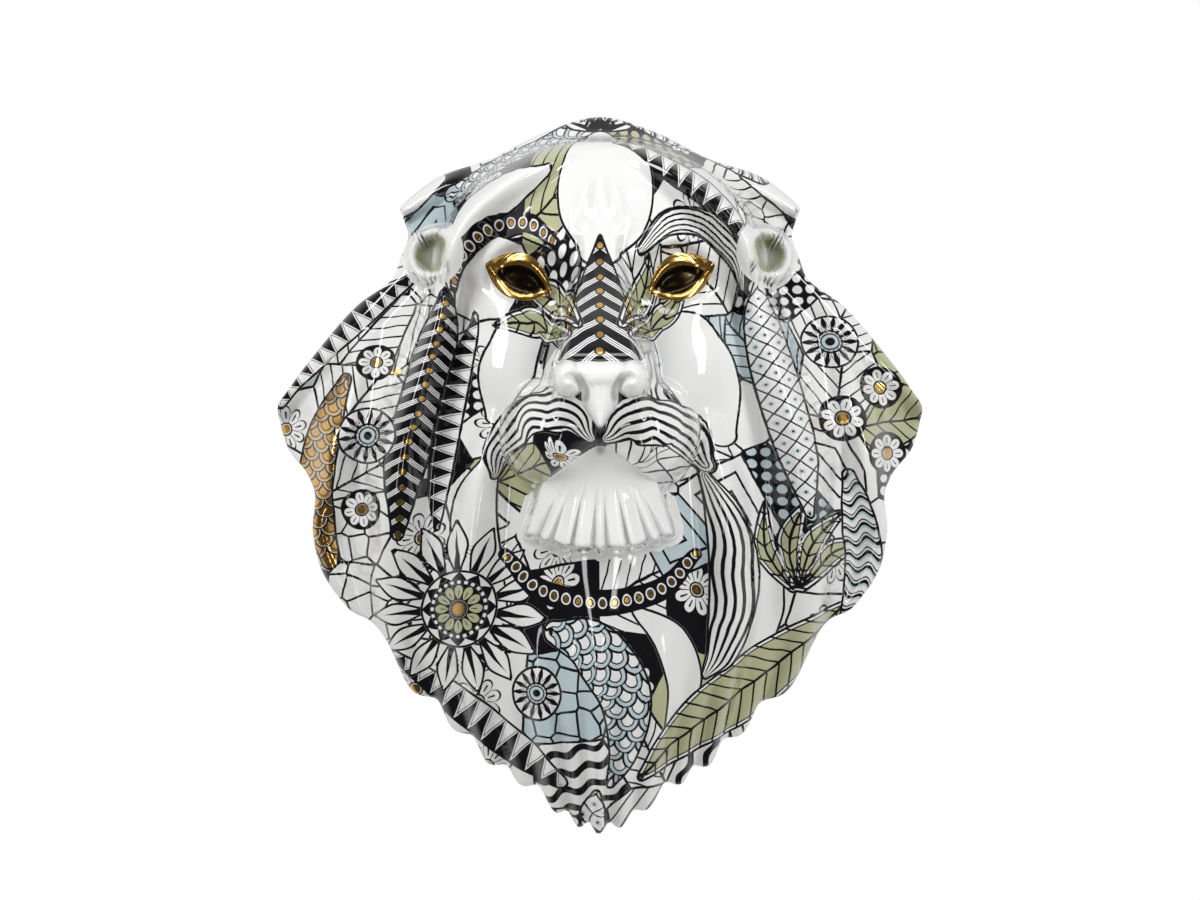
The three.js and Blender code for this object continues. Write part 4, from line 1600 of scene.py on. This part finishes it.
    def daisy(self, across: Wire, up: Wire) -> Paint:
        """A flower of eight petals with a gilt heart on a black ground."""
        petals, petal_foot, petal_rise, seam_from = 8, 0.42, 0.48, 0.93
        vein_reach, heart_radius, ring_radius, soft = 0.62, 0.25, 0.31, 0.03
        reach, saw = self.polar(across, up, petals)
        petal = petal_foot + petal_rise * self.board.math("SQRT", 1 - saw * saw)
        body = (reach - petal).under(0.0, soft)
        seam = saw > seam_from
        vein = saw.under(0.1, 0.06) * (reach - vein_reach).line(0.14, soft)
        heart = reach.under(heart_radius, soft)
        ring = (reach - ring_radius).line(0.045, soft)
        ink = (1 - body).most(seam * body * (1 - heart)).most(vein).most(ring)
        return Paint(ink, gold=heart)

    def medallion(self, across: Wire, up: Wire) -> Paint:
        """Rings of petals, beads and rays round a gilt star."""
        petals_round, star_radius, star_notch, hub_radius = 12, 0.20, 0.09, 0.24
        foot, length, bead_reach, ray_foot, soft = 0.28, 0.36, 0.72, 0.79, 0.02
        reach, saw = self.polar(across, up, petals_round)
        _, fine = self.polar(across, up, 2 * petals_round)
        star = (reach - star_radius + fine * star_notch).under(0.0, soft)
        hub = reach.under(hub_radius, soft)
        rings = (reach - 0.26).line(0.018, soft)
        for radius in (0.66, 0.78):
            rings = rings.most((reach - radius).line(0.016, soft))
        t = (reach - foot) * (1 / length)
        petal = self.board.math("SQRT", (t * (1 - t)).most(0.0)) * 1.9
        petals = (saw - petal).under(0.0, 0.06)
        edge = (saw - petal).line(0.09, 0.06)
        vein = saw.under(0.1, 0.08) * (reach - 0.42).line(0.08, 0.03)
        in_petals = (reach - 0.46).line(0.2, 0.01)
        between = in_petals * (1 - petals)
        bead = ((reach - bead_reach) * 14.0).math("POWER", 2.0) + fine * fine * 1.4
        beads = (reach - bead_reach).line(0.05, 0.01) * (1 - bead.under(0.45, 0.1))
        ray = (reach - ray_foot) * (1 / 0.2)
        rays = (reach > ray_foot) * (saw - (1 - ray)).under(0.0, 0.06)
        ink = rings.most(between).most(edge * in_petals).most(vein).most(beads).most(rays)
        ink = ink.most(hub * (1 - star))
        return Paint(ink, gold=star, tint=petals * in_petals, colour=self.palette.green)

    def sunburst(self, across: Wire, up: Wire) -> Paint:
        """Long black rays round an open ring."""
        rays, notch, outer_ring, inner_ring = 14, 0.5, 0.42, 0.3
        open_radius, dot_radius, soft = 0.36, 0.16, 0.03
        reach, saw = self.polar(across, up, rays)
        tip = reach - (1.0 - saw * notch)
        body = (saw - 0.5).under(0.0, 0.08)
        ring = (reach - outer_ring).line(0.04, soft)
        ring = ring.most((reach - inner_ring).line(0.03, soft))
        inner = reach.under(open_radius, soft)
        dot = reach.under(dot_radius, soft)
        ink = (tip.under(0.0, soft) * body).most(tip.line(0.035, soft)) * (1 - inner)
        return Paint(ink.most(ring).most(dot), tint=inner * (1 - dot), colour=self.palette.blue)

    def paint(self, motif: Motif, outside: Wire, first: Wire, second: Wire) -> Paint:
        """Paint of one motif at its kept places."""
        palette = self.palette
        makers: dict[Motif, Callable[[], Paint]] = {
            Motif.BARE: lambda: Paint(0.0),
            Motif.BLUE_SCALES: lambda: self.scales(first, second, 15.0, palette.blue, False),
            Motif.GILT_SCALES: lambda: self.scales(first, second, 14.0, palette.gold, True),
            Motif.CHEVRONS: lambda: self.chevrons(first, second),
            Motif.LEAF: lambda: self.leaf(outside, first, second),
            Motif.TEETH: lambda: self.teeth(outside, first, second),
            Motif.PETALS: lambda: self.petals(first, second),
            Motif.BEADS: lambda: self.beads(first, second),
            Motif.STRANDS: lambda: self.strands(outside, first, second),
            Motif.WAVES: lambda: self.waves(first, second),
            Motif.LATTICE: lambda: self.lattice(first, second),
            Motif.DAISY: lambda: self.daisy(first, second),
            Motif.MEDALLION: lambda: self.medallion(first, second),
            Motif.SUNBURST: lambda: self.sunburst(first, second),
        }
        return makers[motif]()

    def layer(
        self, colour: Any, lustre: Any, laid: Paint, cover: Wire, rim: Wire
    ) -> tuple[Wire, Wire]:
        """Lays one motif over what is there.

        Args:
            colour: Colour so far.
            lustre: Share of gold so far.
            laid: The motif's paint.
            cover: Share that the motif covers.
            rim: Share of the black line round it.

        Returns:
            The new colour and share of gold.
        """
        board, palette = self.board, self.palette
        own = board.blend(palette.glaze, laid.colour, laid.tint)
        if laid.gold != 0.0:
            own = board.blend(own, palette.gold, laid.gold)
        ink = rim.most(laid.ink)
        own = board.blend(own, palette.ink, ink)
        gold = laid.gold * (1 - ink) if laid.gold != 0.0 else 0.0
        return board.blend(colour, own, cover), board.number(lustre, gold, cover)

    def voronoi(self, place: Wire, feature: str, size: float, randomness: float) -> bpy.types.Node:
        """Cells of a size in millimetres."""
        return self.board.node(
            "ShaderNodeTexVoronoi",
            {"feature": feature, "voronoi_dimensions": "2D"},
            {"Vector": place, "Scale": 1 / size, "Randomness": randomness},
        )

    def flower(self, reach: Wire, turn: Wire, size: float, dark: Wire) -> tuple[Wire, Wire]:
        """Ink and gilt heart of a big open flower.

        Args:
            reach: Distance from its middle.
            turn: Turns round its middle.
            size: Its radius.
            dark: 1 where its ground is black.

        Returns:
            Shares of ink and of gold.
        """
        petals, foot, seam_from, vein_at, heart_at, ring_at = 9.0, 0.4, 0.9, 0.6, 0.2, 0.27
        saw = (turn * petals).saw()
        bow = self.board.math("SQRT", 1 - saw * saw)
        petal = reach - (foot + (1 - foot) * bow) * size
        inside = petal.under(0.0)
        seam = (saw > seam_from) * inside
        vein = saw.under(0.16, 0.1) * (reach - size * vein_at).line(size * 0.16)
        heart = reach.under(size * heart_at)
        ring = (reach - size * ring_at).line(0.6)
        ink = ((1 - inside) * dark).most(petal.line(0.8)).most(seam * (1 - heart))
        return ink.most(vein).most(ring), heart

    def ground(self, u: Wire, v: Wire) -> Paint:
        """Filling between the motifs: patches of echo lines, flowers, veins, pebbles and dots."""
        board = self.board
        size, echo_pitch, flower_size, vein_pitch = 50.0, 9.5, 17.0, 11.5
        band_pitch, pebble_size, dot_pitch, randomness = 12.0, 15.0, 9.0, 0.85
        sway, sway_rate, dot_reach = 2.0, 0.3, 0.72
        first, flowery, veined, pebbled, banded, dotted = 0.13, 0.28, 0.52, 0.7, 0.82, 0.9
        blue_to, tinted_to, dark_from = 0.14, 0.24, 0.5
        place = board.vector(u, v, 0.0)
        cell = self.voronoi(place, "F1", size, randomness)
        border = self.voronoi(place, "DISTANCE_TO_EDGE", size, randomness)
        edge = board.wire(border.outputs["Distance"]) * size
        pick, hue, spin = board.split(board.wire(cell.outputs["Color"]))
        middle_u, middle_v, _ = board.split(board.wire(cell.outputs["Position"]))
        du, dv = u - middle_u, v - middle_v
        echo = ((edge * (1 / echo_pitch)).saw() * 4.7).under(0.85)
        reach = board.length(du, dv)
        turn = board.math("ARCTAN2", dv, du) * (0.5 / math.pi) + spin
        petals, heart = self.flower(reach, turn, flower_size, hue > dark_from)
        angle = spin * math.pi
        cos, sin = board.math("COSINE", angle), board.math("SINE", angle)
        along, across = du * cos + dv * sin, dv * cos - du * sin
        slants = ((along - abs(across)) * (1 / vein_pitch)).saw() * 5.7
        veins = slants.under(0.85).most(across.line(0.9))
        swayed = along + board.math("SINE", across * sway_rate) * sway
        bands = (swayed * (1 / band_pitch)).saw().under(0.4, 0.08)
        small = self.voronoi(place, "DISTANCE_TO_EDGE", pebble_size, 0.8)
        pebbles = (board.wire(small.outputs["Distance"]) * pebble_size).under(0.8)
        dots = board.length((u * (1 / dot_pitch)).saw(), (v * (1 / dot_pitch)).saw())
        ink = echo * (pick > first)
        for start, fill in (
            (flowery, petals), (veined, veins), (pebbled, pebbles), (banded, bands),
            (dotted, 1 - dots.under(dot_reach, 0.1)),
        ):
            ink = board.number(ink, fill, pick > start)
        flowers = (pick > flowery) * (pick < veined)
        ink = ink.most(edge.under(0.9))
        tint = (hue < tinted_to) * (1 - flowers)
        colour = board.blend(self.palette.green, self.palette.blue, hue < blue_to)
        return Paint(ink, heart * flowers, tint, colour)


@dataclass(frozen=True)
class GlazedPorcelain:
    """High-gloss glaze with enamel painting and gold lustre."""

    palette: Palette = Palette()
    roughness: float = 0.05
    gold_roughness: float = 0.24
    biscuit_roughness: float = 0.55
    ior: float = 1.5
    coat: float = 0.3
    coat_roughness: float = 0.03
    ripple: float = 0.00035
    ripple_scale: float = 45.0
    wobble: float = 1.6
    wobble_scale: float = 0.06
    celadon_ring: tuple[Pair, Pair] = ((10.2, 0.6), (4.6, 2.5))
    # Edge and softness of the eyeball area that gets the painted dark reflection
    painted_reflection_eyeball: Pair = (-1.2, 0.5)

    def build(self, name: str) -> bpy.types.Material:
        """Makes the material.

        Args:
            name: Name of the new material.

        Returns:
            The material.
        """
        material = bpy.data.materials.new(name)
        material.use_nodes = True
        board = Board(material.node_tree)
        shader = material.node_tree.nodes["Principled BSDF"]
        shader.inputs["IOR"].default_value = self.ior
        shader.inputs["Coat Weight"].default_value = self.coat
        shader.inputs["Coat Roughness"].default_value = self.coat_roughness
        enamels = Enamels(board, self.palette)
        u, v, _ = board.split(board.attribute("ground"))
        hand = board.node(
            "ShaderNodeTexNoise",
            {"noise_dimensions": "2D"},
            {"Vector": board.vector(u, v, 0.0), "Scale": self.wobble_scale, "Detail": 1.0},
        )
        drift = (board.wire(hand.outputs["Fac"]) - 0.5) * self.wobble
        bare, eye, ear = board.split(board.attribute("features"))
        fill = enamels.ground(u + drift, v - drift)
        everywhere, no_rim = board.value(1.0), board.value(0.0)
        colour, lustre = enamels.layer(self.palette.glaze, 0.0, fill, everywhere, no_rim)
        for motif in Motif:
            outside, first, second = board.split(board.attribute(motif.value))
            if motif in (Motif.DAISY, Motif.MEDALLION, Motif.SUNBURST):
                place = (first, second)
            else:
                place = (first + drift, second + drift)
            laid = enamels.paint(motif, outside, *place)
            cover = outside.under(enamels.outline)
            rim = outside.line(enamels.outline)
            colour, lustre = enamels.layer(colour, lustre, laid, cover, rim)
        whites = bare.under(0.0)
        colour = board.blend(colour, self.palette.glaze, whites)
        lustre = lustre * (1 - whites)
        outer, inner = self.celadon_ring
        celadon = ear.under(*outer) * (1 - ear.under(*inner))
        colour = board.blend(colour, self.palette.celadon, celadon)
        lids = board.factor("lids").under(0.0)
        # The eyeballs keep the metallic gold lustre but are painted near-black brown: a painted
        # reflection of a dark room
        painted_reflection_eyeball = eye.under(*self.painted_reflection_eyeball)
        colour = board.blend(colour, self.palette.gold, lids)
        colour = board.blend(colour, self.palette.painted_dark_reflection, painted_reflection_eyeball)
        lustre = lustre.most(lids)
        glazed = board.factor("glazed")
        colour = board.blend(self.palette.biscuit, colour, glazed)
        rough = board.number(self.roughness, self.gold_roughness, lustre)
        rough = board.number(self.biscuit_roughness, rough, glazed)
        wave = board.node(
            "ShaderNodeTexNoise",
            inputs={
                "Vector": board.node("ShaderNodeTexCoord").outputs["Object"],
                "Scale": self.ripple_scale,
                "Detail": 1.0,
            },
        )
        bump = board.node(
            "ShaderNodeBump",
            inputs={"Strength": 1.0, "Distance": self.ripple, "Height": wave.outputs["Fac"]},
        )
        for socket, value in (
            ("Base Color", colour), ("Metallic", lustre), ("Roughness", rough),
            ("Normal", bump.outputs[0]),
        ):
            board.set_input(shader.inputs[socket], value)
        return material


# The room

@dataclass(frozen=True)
class Softbox:
    """One soft light: its place and size in metres, its power, and whether the glaze mirrors it."""

    name: str
    place: tuple[float, float, float]
    size: Pair
    power: float
    mirrored: bool = True


@dataclass
class Studio:
    """Plain pale floor, soft lights and the camera of the photograph."""

    middle: Vector = Vector((0.0, 0.0, -0.124))
    distance: float = 2.0
    pixel: float = 0.000589
    image_width: int = 1200
    floor_height: float = -0.9
    floor_half: float = 3.0
    floor_back: float = 2.6
    floor_grey: Colour = (0.62, 0.62, 0.61, 1.0)
    floor_roughness: float = 0.6
    sensor: float = 36.0
    room_front: float = 0.05
    room_back: float = 0.7
    room_top: float = 0.12
    room_turn: float = 0.15
    room_rate: float = 1.6
    lights: tuple[Softbox, ...] = (
        Softbox("left_box", (-1.25, -1.0, 0.75), (0.35, 1.1), 18),
        Softbox("right_box", (1.35, -1.1, 0.55), (0.3, 1.2), 17),
        Softbox("top_box", (0.1, -0.9, 1.4), (0.9, 0.35), 5),
        Softbox("front_fill", (0.0, -1.9, 0.3), (1.2, 1.0), 8, mirrored=False),
        Softbox("low_left_strip", (-0.55, -1.3, -1.0), (0.12, 0.7), 2.2),
        Softbox("low_right_strip", (0.6, -1.3, -0.9), (0.12, 0.7), 2.2),
    )

    def camera(self) -> None:
        """Places the camera straight in front of the mask."""
        data = bpy.data.cameras.new("camera")
        data.sensor_width = self.sensor
        data.lens = data.sensor_width * self.distance / (self.image_width * self.pixel)
        camera = bpy.data.objects.new("camera", data)
        camera.location = self.middle + Vector((0.0, -self.distance, 0.0))
        camera.rotation_euler = (math.pi / 2, 0.0, 0.0)
        bpy.context.scene.collection.objects.link(camera)
        bpy.context.scene.camera = camera

    def softbox(self, box: Softbox) -> None:
        """Adds one soft light aimed at the mask."""
        data = bpy.data.lights.new(box.name, "AREA")
        data.shape = "RECTANGLE"
        data.size, data.size_y = box.size
        data.energy = box.power
        place = Vector(box.place)
        light = bpy.data.objects.new(box.name, data)
        light.location = place
        light.visible_glossy = box.mirrored
        light.rotation_euler = (self.middle - place).to_track_quat("-Z", "Y").to_euler()
        bpy.context.scene.collection.objects.link(light)

    def world(self) -> None:
        """White surroundings that are darker in front, so that the glaze shows its form."""
        world = bpy.data.worlds.new("studio")
        world.use_nodes = True
        bpy.context.scene.world = world
        board = Board(world.node_tree)
        background = world.node_tree.nodes["Background"]
        coords = board.node("ShaderNodeTexCoord").outputs["Generated"]
        _, front, up = board.split(board.wire(coords))
        behind = ((front + self.room_turn) * self.room_rate).math("ADD", 0.0, clamp=True)
        room = board.number(self.room_front, self.room_back, behind)
        room = room + (up * self.room_top).most(0.0)
        seen = board.wire(board.node("ShaderNodeLightPath").outputs["Is Camera Ray"])
        board.set_input(background.inputs["Strength"], board.number(room, 1.0, seen))
        background.inputs["Color"].default_value = (1.0, 1.0, 1.0, 1.0)

    def floor(self) -> None:
        """Adds the pale floor."""
        half, back = self.floor_half, self.floor_back
        z = self.floor_height
        mesh = bpy.data.meshes.new("floor")
        corners = [(-half, -half, z), (half, -half, z), (half, back, z), (-half, back, z)]
        mesh.from_pydata(corners, [], [(0, 1, 2, 3)])
        floor = bpy.data.objects.new("floor", mesh)
        floor.visible_glossy = False
        bpy.context.scene.collection.objects.link(floor)
        material = bpy.data.materials.new("pale_floor")
        material.use_nodes = True
        shader = material.node_tree.nodes["Principled BSDF"]
        shader.inputs["Base Color"].default_value = self.floor_grey
        shader.inputs["Roughness"].default_value = self.floor_roughness
        mesh.materials.append(material)

    def build(self) -> None:
        """Sets up the whole room."""
        self.camera()
        for box in self.lights:
            self.softbox(box)
        self.world()
        self.floor()
        bpy.context.scene.view_settings.view_transform = "Standard"


def main() -> None:
    """Builds, dresses and reports the mask."""
    logging.basicConfig(level=logging.INFO, format="%(name)s: %(message)s")
    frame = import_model()
    LOG.info("frame with nodes %s", ", ".join(frame["nodes"]))
    Studio().build()
    head = LionHead()
    mask, points, way = Shell(head).build("lion_mask_glazed")
    Painting(head).lay_out(mask.data, points, way)
    mask.data.materials.clear()
    mask.data.materials.append(GlazedPorcelain().build("glazed_porcelain"))
    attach(mask, "root")
    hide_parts("lion_mask")
    triangles = sum(len(p.vertices) - 2 for p in mask.data.polygons)
    LOG.info("%s: %d triangles", mask.name, triangles)


if __name__ == "__main__":
    main()
